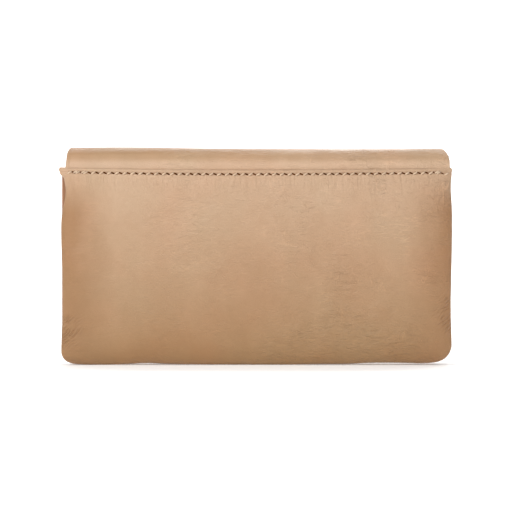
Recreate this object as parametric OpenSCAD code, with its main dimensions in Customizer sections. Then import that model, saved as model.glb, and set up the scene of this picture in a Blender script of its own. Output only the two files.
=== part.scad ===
// Long wallet with a flap that rolls over its top, standing on its bottom fold.
// Millimetres. +X runs along the width, +Z is up, the back faces -Y and the flap closes on +Y.
// The origin is the middle of the underside.

/* [Outside] */
// Width of the back and front panels
body_w = 190; // [175:1:205]
// Height from the underside to the top of the flap's roll
body_h = 106.5; // [100:0.5:116]
// Height of the flap's roll above the back panel's turned edge
roll_h = 11.5; // [9:0.5:15]
// Outer radius of the two corners of the flap's roll
roll_r = 6.5; // [4:0.5:6.5]
// Radius of the bottom fold, back and front
bottom_r = 7; // [5:0.5:9]
// Radius of the lower corners of the back panel, seen from behind
panel_corner_r = 5.5; // [3:0.5:9]
// Depth of the front panel's top edge below the top of the roll
front_drop = 16.5; // [14:0.5:24]

/* [Flap] */
// Width of the flap
flap_w = 187; // [170:1:190]
// Height of the flap's lower edge above the underside
flap_low_z = 16; // [12:1:30]
// Radius of the flap's two lower corners
flap_corner_r = 18; // [8:1:26]
// Width of the flap's turned edge
turned_w = 4; // [3:0.5:6]
// Length of flap leather lapped behind the back panel's edge
seam_lap = 9; // [7:0.5:12]
// Gap between the closed flap and the front panel
flap_gap = 0.6; // [0.5:0.1:1.2]

/* [Leather and lining] */
// Thickness of the outer leather
leather_t = 1.2; // [1:0.1:1.6]
// Thickness of the foam behind the back panel
pad_t = 1.2; // [0.6:0.1:2]
// Thickness of the lining
lining_t = 0.7; // [0.5:0.1:1]
// Thickness of the flap's stiffener
stiffener_t = 0.6; // [0.4:0.1:1]

/* [Compartments] */
// Open depth of each banknote compartment
note_gap = 4.4; // [4.3:0.1:7]
// Depth of the compartment walls' top edge below the top of the roll
section_drop = 18.5; // [17:0.5:26]
// Open depth of the coin pocket
coin_gap = 4.6; // [4.6:0.1:7]
// Thickness of each wall of the coin pocket
coin_wall_t = 1; // [0.8:0.1:1.4]
// Distance of the coin pocket from each side of the wallet
coin_in = 4; // [3:0.5:7]
// Depth of the coin pocket's top edge below the compartment walls' top
coin_drop = 6; // [5:0.5:12]
// Width of the coin pocket's side and bottom strip
coin_strip_w = 1.4; // [1:0.1:2]
// How far each side gusset folds in from the side of the wallet
gusset_in = 11; // [9:0.5:14]
// Distance of the lining and the card pockets from each side of the wallet
lining_in = 3; // [2:0.5:4]

/* [Card pockets] */
// Thickness of one card pocket
card_t = 0.8; // [0.6:0.1:1]
// Step between the card pockets' top edges
card_step = 12; // [9:0.5:15]
// Depth of the highest card pocket below the compartment walls' top
card_drop = 4; // [2:0.5:8]

/* [Zip] */
// Length of the toothed chain
zip_len = 158; // [120:2:162]
// Height of the tape sewn inside the coin pocket
tape_h = 12; // [8:0.5:16]
// Thickness of the zip's tape
tape_t = 0.5; // [0.4:0.05:0.6]
// Distance between the teeth of one row
tooth_pitch = 2; // [1.6:0.1:3]
// Height of a tooth
tooth_h = 1.3; // [1.1:0.1:1.5]
// Length of the slider
slider_len = 8; // [7:0.5:9]
// Reach of the pull from its pivot
pull_len = 16; // [12:0.5:16.5]
// Width of the pull
pull_w = 4.8; // [4.4:0.1:5.2]

/* [Press stud] */
// Height of the press stud above the flap's lower edge
snap_up = 13; // [11:0.5:18]
// Radius of the cap on the outside of the flap
cap_r = 6.2; // [5.5:0.1:7.5]
// Height of the cap above the flap
cap_h = 1.1; // [0.8:0.1:1.6]
// Radius of the stud's head
stud_r = 3; // [2.6:0.1:3.4]

/* [Stitching] */
// Distance from one stitch to the next
stitch_pitch = 3.8; // [3:0.1:5]
// Length of a stitch
stitch_l = 2.7; // [2:0.1:2.8]
// Thickness of the thread
thread_d = 0.5; // [0.4:0.05:0.6]
// Distance of the seams from the edges that they follow
seam_in = 2.3; // [2:0.1:3]

/* [Hidden] */

$fn = 48;
eps = 0.05;
hinge_gap = 0.3;
stitch_slant = 12;
groove_d = 0.35;
groove_w = 1.2;
tan_leather = [0.79, 0.62, 0.49];
deep_leather = [0.70, 0.50, 0.38];
lining_cloth = [0.55, 0.42, 0.33];
foam = [0.93, 0.90, 0.82];
board = [0.62, 0.55, 0.45];
thread = [0.84, 0.68, 0.55];
brass = [0.85, 0.70, 0.40];

// Depths, from the back's outer face to the press stud's cap
core_t = max(pad_t, leather_t);
cards_t = 3 * card_t;
back_t = leather_t + core_t + lining_t + cards_t;
coin_t = 2 * coin_wall_t + coin_gap;
front_t = cards_t + lining_t + leather_t;
flap_t = lining_t + stiffener_t + leather_t;
depth = back_t + note_gap + coin_t + note_gap + front_t + flap_gap + flap_t + cap_h;
y_back = -depth / 2;
y_base = y_back + leather_t;
y_back_lining = y_base + core_t;
y_back_cards = y_back_lining + lining_t;
y_notes_back = y_back + back_t;
y_coin_back = y_notes_back + note_gap;
y_coin_in = y_coin_back + coin_wall_t;
y_coin_mid = y_coin_in + coin_gap / 2;
y_coin_front = y_coin_in + coin_gap;
y_notes_front = y_coin_back + coin_t;
y_front_cards = y_notes_front + note_gap;
y_front_lining = y_front_cards + cards_t;
y_front = y_front_lining + lining_t;
y_front_face = y_front + leather_t;
y_flap_lining = y_front_face + flap_gap;
y_flap_core = y_flap_lining + lining_t;
y_flap = y_flap_core + stiffener_t;
y_flap_face = y_flap + leather_t;

// Heights
edge_z = body_h - roll_h;
fold_z = body_h - roll_r - hinge_gap / 2;
base_low_z = edge_z - seam_lap;
front_fold_z = bottom_r + hinge_gap / 2;
section_low_z = bottom_r + 2 * hinge_gap;
section_top_z = body_h - section_drop;
front_top_z = body_h - front_drop;
coin_top_z = section_top_z - coin_drop;
card_top_z = section_top_z - card_drop;
card_low_z = section_low_z + hinge_gap;
snap_z = flap_low_z + snap_up;

// Widths
lining_w = body_w - 2 * lining_in;
coin_w = body_w - 2 * coin_in;
gusset_fold = body_w / 2 - gusset_in;

// Zip: the chain lies flat across the top of the coin pocket
tooth_gap = 0.25;
row_w = 1.1;
bead_w = 0.35;
chain_z = coin_top_z + 1.3;
chain_half = tooth_gap + row_w;
tooth_l = tooth_pitch / 2;
stop_l = 2;
tape_l = zip_len + 2 * stop_l + 4;
slider_clear = 0.15;
plate_t = 0.7;
slider_web = 0.26;
slider_x = zip_len / 2 - slider_len / 2 - hinge_gap;
plate_z = chain_z + tooth_h / 2 + slider_clear;
bar_r = 0.45;
bail_h = 1.85;
bail_t = 0.6;
bail_w = 1.4;
bail_l = 5.2;
pivot_z = plate_z + plate_t + 0.2 + bar_r;
pull_t = 0.8;
arm_w = 0.8;
arm_l = 5;

// Press stud
socket_r = cap_r - 0.2;
socket_clear = 0.45;
neck_r = stud_r - 0.8;
stud_h = flap_gap + 1;
flange_r = stud_r + 1;
flange_h = flap_gap - 0.25;
shank_r = 1.4;
shank_clear = 0.05;
post_r = stud_r + 2;

function arc(cx, cy, r, a0, a1, n = 8) =
    [for (i = [0:n]) let (a = a0 + (a1 - a0) * i / n) [cx + r * cos(a), cy + r * sin(a)]];

// A panel's outline in X and Z with round corners
module outline(w, z0, z1, r_low, r_top) {
    h = w / 2;
    polygon(concat(
        arc(-h + r_low, z0 + r_low, r_low, 180, 270),
        arc(h - r_low, z0 + r_low, r_low, 270, 360),
        arc(h - r_top, z1 - r_top, r_top, 0, 90),
        arc(-h + r_top, z1 - r_top, r_top, 90, 180)));
}

// Turns a drawing in X and Z into a sheet from depth y0, t thick
module upright(y0, t) {
    translate([0, y0 + t, 0]) rotate([90, 0, 0]) linear_extrude(t) children();
}

// Carries a drawing in Y and Z along the width
module across(w) {
    rotate([90, 0, 90]) linear_extrude(w, center = true) children();
}

module sheet(w, z0, z1, y0, t, r_low = 2, r_top = 2) {
    upright(y0, t) outline(w, z0, z1, r_low, r_top);
}

// A round piece on the press stud's axis, from depth y0 to y1
module stud_disc(r, y0, y1) {
    translate([0, y0, snap_z]) rotate([-90, 0, 0]) cylinder(r = r, h = y1 - y0);
}

// One stitch lying on the X-Z plane at depth y0, turned by a degrees
module stitch(x, z, a, y0) {
    translate([x, y0 + groove_d / 2, z]) rotate([0, -a, 0])
        cube([stitch_l, groove_d, thread_d], center = true);
}

// A row of stitches along X, centred, no longer than w
module stitches_x(w, z, y0) {
    n = floor((w - stitch_l) / stitch_pitch / 2);
    for (i = [-n:n]) stitch(i * stitch_pitch, z, -stitch_slant, y0);
}

// A row of stitches along Z from z0 to z1
module stitches_z(x, z0, z1, y0) {
    n = floor((z1 - z0 - stitch_l) / stitch_pitch);
    for (i = [0:n]) stitch(x, z0 + stitch_l / 2 + i * stitch_pitch, 90, y0);
}

// The groove that a row along X lies in
module groove_x(w, z, y0) {
    translate([0, y0 + groove_d / 2, z]) cube([w, groove_d, groove_w], center = true);
}

module groove_z(x, z0, z1, y0) {
    translate([x, y0 + groove_d / 2, (z0 + z1) / 2]) cube([groove_w, groove_d, z1 - z0], center = true);
}

// Outer leather: back, bottom and the start of the front, seen from the side
module wrap_profile() {
    polygon(concat(
        [[y_back, edge_z]],
        arc(y_back + bottom_r, bottom_r, bottom_r, 180, 270),
        arc(y_front_face - bottom_r, bottom_r, bottom_r, 270, 360),
        arc(y_front_face - bottom_r, bottom_r, bottom_r - leather_t, 360, 270),
        arc(y_back + bottom_r, bottom_r, bottom_r - leather_t, 270, 180),
        [[y_back + leather_t, edge_z]]));
}

module back_panel() {
    color(tan_leather) difference() {
        intersection() {
            across(body_w) wrap_profile();
            sheet(body_w, 0, edge_z, y_back - 1, y_front_face - y_back + 2, panel_corner_r, 1);
        }
        groove_x(body_w - 4, edge_z - seam_in, y_back);
    }
}

module back_padding() {
    color(foam) sheet(lining_w, section_low_z, base_low_z - hinge_gap, y_base, pad_t);
}

module back_lining() {
    color(lining_cloth) sheet(lining_w, section_low_z, section_top_z, y_back_lining, lining_t);
}

module floor_lining() {
    color(lining_cloth)
        translate([-lining_w / 2, y_base + eps, bottom_r - lining_t])
        cube([lining_w, y_front - y_base - 2 * eps, lining_t]);
}

module flap_base() {
    color(tan_leather) sheet(flap_w, base_low_z, fold_z - hinge_gap / 2, y_base, leather_t, 2, 0.5);
}

// Card pocket number k of a block, counted from the highest
module card_pocket(k, y0) {
    color(tan_leather) sheet(lining_w, card_low_z, card_top_z - k * card_step, y0, card_t, 2, 1);
}

// The lowest card pocket, with the groove of the seam that parts its two columns at depth y_seam
module seamed_pocket(y0, y_seam) {
    color(tan_leather) difference() {
        card_pocket(2, y0);
        groove_z(0, card_low_z, card_top_z - 2 * card_step, y_seam);
    }
}

module card_seam_thread(y_seam) {
    color(thread) stitches_z(0, card_low_z + 1, card_top_z - 2 * card_step - 1, y_seam);
}

module back_card_pocket_upper() {
    card_pocket(0, y_back_cards);
}

module back_card_pocket_middle() {
    card_pocket(1, y_back_cards + card_t);
}

module back_card_pocket_lower() {
    seamed_pocket(y_back_cards + 2 * card_t, y_notes_back - groove_d);
}

module back_card_seam_thread() {
    card_seam_thread(y_notes_back - groove_d);
}

module front_card_pocket_upper() {
    card_pocket(0, y_front_lining - card_t);
}

module front_card_pocket_middle() {
    card_pocket(1, y_front_lining - 2 * card_t);
}

module front_card_pocket_lower() {
    seamed_pocket(y_front_cards, y_front_cards);
}

module front_card_seam_thread() {
    card_seam_thread(y_front_cards);
}

// Half of a gusset's fold: sewn flat to a wall at the wallet's side, then turned in to the fold
module gusset_leaf(side, y_wall, y_fold, inward, edge, top) {
    bend = edge - 4;
    t = inward * lining_t;
    color(deep_leather) translate([0, 0, section_low_z]) linear_extrude(top - section_low_z) polygon([
        [side * edge, y_wall],
        [side * bend, y_wall],
        [side * gusset_fold, y_fold],
        [side * gusset_fold, y_fold + t],
        [side * bend, y_wall + t],
        [side * edge, y_wall + t]]);
}

module gusset_back(side) {
    gusset_leaf(side, y_notes_back, y_notes_back + note_gap / 2 - lining_t - hinge_gap / 2, 1,
        lining_w / 2, section_top_z);
}

module gusset_middle(side) {
    gusset_leaf(side, y_coin_back, y_notes_back + note_gap / 2 + lining_t + hinge_gap / 2, -1,
        coin_w / 2, coin_top_z);
    gusset_leaf(side, y_notes_front, y_notes_front + note_gap / 2 - lining_t - hinge_gap / 2, 1,
        coin_w / 2, coin_top_z);
}

module gusset_front(side) {
    gusset_leaf(side, y_front_cards, y_notes_front + note_gap / 2 + lining_t + hinge_gap / 2, -1,
        lining_w / 2, section_top_z);
}

module gusset_left_back() {
    gusset_back(-1);
}

module gusset_right_back() {
    gusset_back(1);
}

module gusset_left_middle() {
    gusset_middle(-1);
}

module gusset_right_middle() {
    gusset_middle(1);
}

module gusset_left_front() {
    gusset_front(-1);
}

module gusset_right_front() {
    gusset_front(1);
}

module back_seam_thread() {
    color(thread) stitches_x(body_w - 6, edge_z - seam_in, y_back);
}

// The roll over the top, seen from the side, between depths d0 and d1 below its outer face
module roll_profile(d0, d1) {
    low = fold_z + hinge_gap / 2;
    left = y_base + roll_r;
    right = y_flap_face - roll_r;
    top = body_h - roll_r;
    polygon(concat(
        [[y_base + d0, low]],
        arc(left, top, roll_r - d0, 180, 90),
        arc(right, top, roll_r - d0, 90, 0),
        [[y_flap_face - d0, low], [y_flap_face - d1, low]],
        arc(right, top, roll_r - d1, 0, 90),
        arc(left, top, roll_r - d1, 90, 180),
        [[y_base + d1, low]]));
}

module flap_top() {
    color(tan_leather) across(flap_w) roll_profile(0, leather_t);
}

module flap_top_lining() {
    color(lining_cloth) across(flap_w - 2) roll_profile(leather_t, leather_t + lining_t);
}

// The flap's outline, drawn in by d all round
module flap_outline(d) {
    outline(flap_w - 2 * d, flap_low_z + d, fold_z - hinge_gap / 2 - d, flap_corner_r - d, 0.5);
}

module flap_cover() {
    color(tan_leather) difference() {
        union() {
            upright(y_flap, leather_t) flap_outline(0);
            upright(y_flap_core, stiffener_t + eps) difference() {
                flap_outline(0);
                flap_outline(turned_w);
            }
        }
        stud_disc(shank_r + shank_clear, y_flap - 1, y_flap_face + 1);
        upright(y_flap_face - groove_d, groove_d + 1) edge_groove();
    }
}

// The groove of the flap's edge seam: down one side, along the lower edge and up the other side
module edge_groove() {
    difference() {
        flap_outline(seam_in - groove_w / 2);
        flap_outline(seam_in + groove_w / 2);
        translate([0, fold_z]) square([flap_w, 8], center = true);
    }
}

module flap_stiffener() {
    color(board) difference() {
        upright(y_flap_core, stiffener_t) flap_outline(turned_w + 0.1);
        stud_disc(socket_r + shank_clear, y_flap_core - 1, y_flap + 1);
    }
}

module flap_cover_lining() {
    color(lining_cloth) difference() {
        upright(y_flap_lining, lining_t) flap_outline(1);
        stud_disc(socket_r + shank_clear, y_flap_lining - 1, y_flap_core + 1);
    }
}

// Stitches along the flap's edge: two straight sides, two corners and the lower edge
module flap_edge_thread() {
    side_x = flap_w / 2 - seam_in;
    low = flap_low_z + seam_in;
    r = flap_corner_r - seam_in;
    corner_n = max(1, floor(r * PI / 2 / stitch_pitch));
    y0 = y_flap_face - groove_d;
    color(thread) {
        stitches_x(flap_w - 2 * flap_corner_r - 2, low, y0);
        for (s = [-1, 1]) {
            stitches_z(s * side_x, flap_low_z + flap_corner_r + 1, fold_z - 6, y0);
            for (i = [0:corner_n - 1]) {
                a = 90 * (i + 0.5) / corner_n;
                stitch(s * (side_x - r + r * sin(a)), low + r - r * cos(a), s * a, y0);
            }
        }
    }
}

module snap_cap() {
    color(brass) union() {
        stud_disc(shank_r, y_flap, y_flap_face + eps);
        translate([0, y_flap_face, snap_z]) rotate([-90, 0, 0]) rotate_extrude() polygon(concat(
            [[0, 0], [cap_r, 0]],
            [for (i = [0:6]) [cap_r * cos(15 * i), cap_h * (0.3 + 0.7 * sin(15 * i))]]));
    }
}

module snap_socket() {
    color(brass) difference() {
        stud_disc(socket_r, y_flap_lining, y_flap);
        stud_disc(stud_r + socket_clear, y_flap_lining - 1, y_flap + 1);
    }
}

module front_panel() {
    color(tan_leather) difference() {
        sheet(body_w, bottom_r + hinge_gap, front_top_z, y_front, leather_t, 1, 6);
        stud_disc(shank_r + shank_clear, y_front - 1, y_front_face + 1);
    }
}

module front_lining() {
    color(lining_cloth) difference() {
        sheet(lining_w, section_low_z, section_top_z, y_front_lining, lining_t);
        stud_disc(post_r + shank_clear, y_front_lining - 1, y_front + 1);
    }
}

module snap_stud() {
    color(brass) union() {
        stud_disc(shank_r, y_front_lining, y_front_face + eps);
        stud_disc(flange_r, y_front_face, y_front_face + flange_h);
        stud_disc(neck_r, y_front_face, y_front_face + stud_h);
        stud_disc(stud_r, y_front_face + stud_h - 0.7, y_front_face + stud_h);
    }
}

module snap_post() {
    color(brass) difference() {
        stud_disc(post_r, y_front_lining, y_front);
        stud_disc(shank_r + shank_clear, y_front_lining - 1, y_front + 1);
    }
}

module coin_wall(y0) {
    color(tan_leather) sheet(coin_w, section_low_z, coin_top_z, y0, coin_wall_t, 4, 3);
}

module coin_pocket_back() {
    coin_wall(y_coin_back);
}

module coin_pocket_front() {
    difference() {
        coin_wall(y_coin_front);
        groove_x(tape_l, coin_top_z - seam_in, y_notes_front - groove_d);
    }
}

module coin_pocket_strip() {
    color(lining_cloth) upright(y_coin_in, coin_gap) difference() {
        outline(coin_w, section_low_z, coin_top_z, 4, 3);
        translate([0, coin_strip_w]) outline(coin_w - 2 * coin_strip_w, section_low_z, coin_top_z + 5, 3, 3);
    }
}

module zip_seam_thread() {
    color(thread) stitches_x(tape_l - 2, coin_top_z - seam_in, y_notes_front - groove_d);
}

// One half of the tape, seen from the side: down the pocket's wall, then in to the teeth
module zip_tape(side) {
    wall = coin_gap / 2;
    color(lining_cloth) translate([0, y_coin_mid, 0]) across(tape_l) polygon([
        [side * wall, coin_top_z - tape_h],
        [side * (wall - tape_t), coin_top_z - tape_h],
        [side * (wall - tape_t), chain_z - tape_t / 2],
        [side * chain_half, chain_z - tape_t / 2],
        [side * chain_half, chain_z + tape_t / 2],
        [side * wall, chain_z + tape_t / 2]]);
}

module zip_tape_back() {
    zip_tape(-1);
}

module zip_tape_front() {
    zip_tape(1);
}

// A row of teeth on its bead, drawn as a comb from above
module zip_teeth(side, shift) {
    n = floor((zip_len - 2 * tooth_l) / tooth_pitch / 2);
    outer = side * chain_half;
    root = side * (chain_half - bead_w);
    tip = side * tooth_gap;
    half = tooth_l / 2;
    comb = [for (i = [-n:n - 1]) let (x = i * tooth_pitch + shift * tooth_pitch / 2 + half)
        each [[x - half, root], [x - half, tip], [x + half, tip], [x + half, root]]];
    color(brass) translate([0, y_coin_mid, chain_z - tooth_h / 2]) linear_extrude(tooth_h)
        polygon(concat([[-zip_len / 2, outer], [-zip_len / 2, root]], comb,
            [[zip_len / 2, root], [zip_len / 2, outer]]));
}

module zip_teeth_back() {
    zip_teeth(-1, 0);
}

module zip_teeth_front() {
    zip_teeth(1, 1);
}

module zip_stop(x) {
    color(brass) translate([x - stop_l / 2, y_coin_mid - chain_half, chain_z - tooth_h / 2])
        cube([stop_l, 2 * chain_half, tooth_h]);
}

module zip_top_stop() {
    zip_stop(zip_len / 2 + stop_l / 2);
}

module zip_bottom_stop() {
    zip_stop(-zip_len / 2 - stop_l / 2);
}

// Slider: a plate above the chain, a narrower one below, the web between them and the pull's bail
module zip_slider() {
    top_w = 2 * chain_half + 1.7;
    low_w = 2 * chain_half - 0.2;
    low_z = chain_z - tooth_h / 2 - slider_clear - plate_t;
    top = plate_z + plate_t;
    color(brass) translate([slider_x, y_coin_mid, 0]) union() {
        translate([0, 0, plate_z + plate_t / 2]) cube([slider_len, top_w, plate_t], center = true);
        translate([0, 0, low_z + plate_t / 2]) cube([slider_len - 1, low_w, plate_t], center = true);
        translate([0, 0, (low_z + top) / 2]) cube([slider_len - 2, slider_web, top - low_z], center = true);
        translate([0, 0, top]) rotate([90, 0, 0]) linear_extrude(bail_w, center = true) difference() {
            polygon([[-bail_l / 2, -eps], [bail_l / 2, -eps], [bail_l / 2, bail_h - 0.5],
                [bail_l / 2 - 0.5, bail_h], [0.5 - bail_l / 2, bail_h], [-bail_l / 2, bail_h - 0.5]]);
            translate([0, (bail_h - bail_t) / 2]) square([bail_l - 1.6, bail_h - bail_t], center = true);
        }
    }
}

// Pull: a cross bar under the bail, two arms and a tab with a round end
module zip_pull() {
    arm_in = pull_w / 2 - arm_w;
    tab_l = pull_len - arm_l - pull_w / 2;
    color(brass) translate([slider_x, y_coin_mid, pivot_z]) union() {
        rotate([90, 0, 0]) cylinder(r = bar_r, h = 2 * arm_in + arm_w, center = true);
        for (s = [-1, 1])
            translate([-arm_l - eps, s > 0 ? arm_in : -arm_in - arm_w, -pull_t / 2])
                cube([arm_l + eps + bar_r, arm_w, pull_t]);
        translate([-arm_l - tab_l, -pull_w / 2, -pull_t / 2]) cube([tab_l, pull_w, pull_t]);
        translate([-arm_l - tab_l, 0, -pull_t / 2]) cylinder(r = pull_w / 2, h = pull_t);
    }
}

back_panel();
back_padding();
back_lining();
floor_lining();
flap_base();
back_card_pocket_upper();
back_card_pocket_middle();
back_card_pocket_lower();
gusset_left_back();
gusset_right_back();
back_seam_thread();
back_card_seam_thread();
flap_top();
flap_top_lining();
flap_cover();
flap_stiffener();
flap_cover_lining();
flap_edge_thread();
snap_cap();
snap_socket();
front_panel();
front_lining();
front_card_pocket_upper();
front_card_pocket_middle();
front_card_pocket_lower();
gusset_left_front();
gusset_right_front();
front_card_seam_thread();
snap_stud();
snap_post();
coin_pocket_back();
coin_pocket_front();
coin_pocket_strip();
gusset_left_middle();
gusset_right_middle();
zip_tape_back();
zip_tape_front();
zip_teeth_back();
zip_teeth_front();
zip_top_stop();
zip_bottom_stop();
zip_seam_thread();
zip_slider();
zip_pull();
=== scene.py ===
"""Long wallet: leather, linings, seams, zip and press stud, built as surfaces on the packed frame.

Lengths in the shape functions are millimetres in the frame's own axes: X along the wallet, Y from its
back to its front, Z up. Operators turn them into meshes in metres.
"""

import math

import bmesh
import bpy
import numpy as np
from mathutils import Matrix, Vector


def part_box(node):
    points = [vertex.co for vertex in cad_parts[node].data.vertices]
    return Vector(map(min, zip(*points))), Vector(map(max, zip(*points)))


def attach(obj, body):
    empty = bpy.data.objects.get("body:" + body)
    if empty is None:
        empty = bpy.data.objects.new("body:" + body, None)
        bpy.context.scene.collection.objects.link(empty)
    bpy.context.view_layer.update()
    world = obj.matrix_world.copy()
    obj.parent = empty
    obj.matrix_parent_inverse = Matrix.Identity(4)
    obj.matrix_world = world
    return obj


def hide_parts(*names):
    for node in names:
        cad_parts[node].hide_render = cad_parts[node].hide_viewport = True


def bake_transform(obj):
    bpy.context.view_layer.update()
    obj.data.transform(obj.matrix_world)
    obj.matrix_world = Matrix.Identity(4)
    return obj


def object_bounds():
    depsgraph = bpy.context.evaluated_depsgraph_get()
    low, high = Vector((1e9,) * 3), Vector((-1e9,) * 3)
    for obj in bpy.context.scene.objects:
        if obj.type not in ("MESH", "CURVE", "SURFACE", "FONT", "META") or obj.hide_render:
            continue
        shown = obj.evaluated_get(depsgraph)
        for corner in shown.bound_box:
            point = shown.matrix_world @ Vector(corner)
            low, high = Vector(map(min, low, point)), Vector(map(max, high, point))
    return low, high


bl_info = {
    "name": "Long Wallet",
    "version": (1, 0, 0),
    "blender": (4, 5, 0),
    "location": "3D View > Sidebar > Wallet",
    "description": "Builds the leather, linings, seams, zip and press stud of a long wallet on its frame",
    "category": "Add Mesh",
}

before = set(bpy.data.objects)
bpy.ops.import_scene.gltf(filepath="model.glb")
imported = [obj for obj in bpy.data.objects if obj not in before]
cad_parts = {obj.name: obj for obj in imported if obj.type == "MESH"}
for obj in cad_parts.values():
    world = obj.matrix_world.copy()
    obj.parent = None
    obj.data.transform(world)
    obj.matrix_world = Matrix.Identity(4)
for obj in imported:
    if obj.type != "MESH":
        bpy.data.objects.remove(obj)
FRAME_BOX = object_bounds()
MM = 0.001


def corners(node):
    """Lowest and highest corner of a frame node, in millimetres."""
    low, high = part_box(node)
    return np.array(low) / MM, np.array(high) / MM


# Outer leather
BACK_LOW, BACK_HIGH = corners("back_panel")
BASE_LOW, BASE_HIGH = corners("flap_base")
ROLL_LOW, ROLL_HIGH = corners("flap_top")
COVER_LOW, COVER_HIGH = corners("flap_cover")
FRONT_LOW, FRONT_HIGH = corners("front_panel")
SEAM_LOW, SEAM_HIGH = corners("back_seam_thread")
HALF_W = BACK_HIGH[0]
EDGE_Z = BACK_HIGH[2]
BACK_Y = BACK_LOW[1]
LEATHER_T = BASE_HIGH[1] - BASE_LOW[1]
HALF_T = LEATHER_T / 2
FRONT_SEAM_Z = FRONT_LOW[2] - 0.15
SEAM_IN = EDGE_Z - (SEAM_LOW[2] + SEAM_HIGH[2]) / 2
SEAM_HALF = SEAM_HIGH[0] - 0.6
STITCH_PITCH = 3.8

# Flap lining and press stud
LINING_LOW, LINING_HIGH = corners("flap_cover_lining")
LINING_T = LINING_HIGH[1] - LINING_LOW[1]
CAP_LOW, CAP_HIGH = corners("snap_cap")
SNAP_Z = (CAP_LOW[2] + CAP_HIGH[2]) / 2
# Radii over which the leather lies flat round the cap and round the stud
FLAT_ROUND_CAP, FLAT_ROUND_STUD = 13, 10

# Half thickness of each sheet and the radius of its half-round edge
CLOTH_HALF_T, CLOTH_EDGE = 0.28, 0.3
CARD_HALF_T, CARD_EDGE = 0.34, 0.36
COIN_HALF_T, COIN_EDGE = 0.42, 0.45
GUSSET_HALF_T = 0.3
FOAM_EDGE = 0.55


# ---------------------------------------------------------------- sizes and colours a user may change


class WalletShape(bpy.types.PropertyGroup):
    """How the soft leather stands away from the plain frame."""

    back_swell: bpy.props.FloatProperty(
        name="Back swell", description="How far the padded back stands out in its middle",
        default=0.0012, min=0, max=0.004, unit="LENGTH")
    side_turn: bpy.props.FloatProperty(
        name="Side turn", description="Width over which the back's sides curve in",
        default=0.009, min=0.003, max=0.015, unit="LENGTH")
    side_drop: bpy.props.FloatProperty(
        name="Side drop", description="How far the back's sides curve in",
        default=0.0036, min=0, max=0.005, unit="LENGTH")
    foot_height: bpy.props.FloatProperty(
        name="Foot height", description="Height at which the back starts to curve under",
        default=0.015, min=0.008, max=0.02, unit="LENGTH")
    edge_sag: bpy.props.FloatProperty(
        name="Edge sag", description="How far the back's top edge sags between its ends",
        default=0.0012, min=0, max=0.003, unit="LENGTH")
    roll_fall: bpy.props.FloatProperty(
        name="Roll fall", description="How far the flap's roll falls from its left end to its right",
        default=0.0006, min=0, max=0.003, unit="LENGTH")
    ripple: bpy.props.FloatProperty(
        name="Ripple", description="Height of the broad waves in the leather",
        default=0.00016, min=0, max=0.0006, unit="LENGTH")


class WalletFinish(bpy.types.PropertyGroup):
    """Colours of the wallet's materials."""

    leather: bpy.props.FloatVectorProperty(
        name="Leather", description="Outer and inner leather", subtype="COLOR",
        default=(0.550, 0.366, 0.244), min=0, max=1)
    # Darker tone of the painted shade on the outer leather: low down, at the sides, along the foot and over
    # the roll
    painted_shade_tone: bpy.props.FloatVectorProperty(
        name="Worn leather", description="Outer leather where it is handled most, low down", subtype="COLOR",
        default=(0.378, 0.216, 0.099), min=0, max=1)
    gusset: bpy.props.FloatVectorProperty(
        name="Gusset", description="Thin leather of the side gussets", subtype="COLOR",
        default=(0.40, 0.205, 0.115), min=0, max=1)
    lining: bpy.props.FloatVectorProperty(
        name="Lining", description="Woven lining", subtype="COLOR",
        default=(0.165, 0.092, 0.055), min=0, max=1)
    thread: bpy.props.FloatVectorProperty(
        name="Thread", description="Seam thread", subtype="COLOR",
        default=(0.93, 0.70, 0.50), min=0, max=1)
    tape: bpy.props.FloatVectorProperty(
        name="Tape", description="Zip tape", subtype="COLOR",
        default=(0.15, 0.082, 0.048), min=0, max=1)
    metal: bpy.props.FloatVectorProperty(
        name="Metal", description="Zip and press stud", subtype="COLOR",
        default=(0.83, 0.64, 0.36), min=0, max=1)


# ---------------------------------------------------------------- curves and grids


def smooth(t):
    """0 below 0, 1 above 1, and 3t^2 - 2t^3 between."""
    t = np.clip(t, 0, 1)
    return t * t * (3 - 2 * t)


def hump(x, centre, width):
    """A bell of height 1 at centre: exp(-((x - centre) / width)^2)."""
    return np.exp(-(((x - centre) / width) ** 2))


def round_in(distance, radius):
    """How far a quarter-round of that radius lies below its crown at a distance from its end, 1 to 0."""
    t = np.clip(1 - distance / radius, 0, 1)
    return 1 - np.sqrt(1 - t * t)


def ripple(a, b, size, seed, stretch=1.0, count=16):
    """Sum of `count` cosines of seeded direction, length and phase; waves are about `size` long,
    and `stretch` times longer along a. The sum is scaled to a root mean square of 1."""
    rng = np.random.default_rng(seed)
    total = np.zeros(np.broadcast(a, b).shape)
    for turn, length, phase in zip(rng.uniform(0, np.pi, count), rng.uniform(0.6, 1.7, count),
                                   rng.uniform(0, 2 * np.pi, count)):
        k = 2 * np.pi / (size * length)
        total += np.cos(k * (a * np.cos(turn) / stretch + b * np.sin(turn)) + phase)
    return total / math.sqrt(count / 2)


def spread(start, end, step):
    """Even marks from start to end, about step apart."""
    return np.linspace(start, end, max(2, math.ceil(abs(end - start) / step) + 1))


def lines(length, step, rim=0.0, fine=0.0, fine_step=0.5, ends=(True, True)):
    """Grid marks from 0 to length: spaced as a quarter-round over the rim at each chosen end, then
    fine_step apart over `fine`, and about step apart between."""
    turn = rim * (1 - np.cos(np.linspace(0, np.pi / 2, 5)))
    first = turn if ends[0] else turn[:1]
    last = turn if ends[1] else turn[:1]
    a, b = first[-1], length - last[-1]
    c = a + (fine if ends[0] else 0)
    d = b - (fine if ends[1] else 0)
    marks = [first, spread(a, c, fine_step), spread(c, d, step), spread(d, b, fine_step), length - last]
    return np.unique(np.round(np.concatenate(marks), 4))


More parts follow.
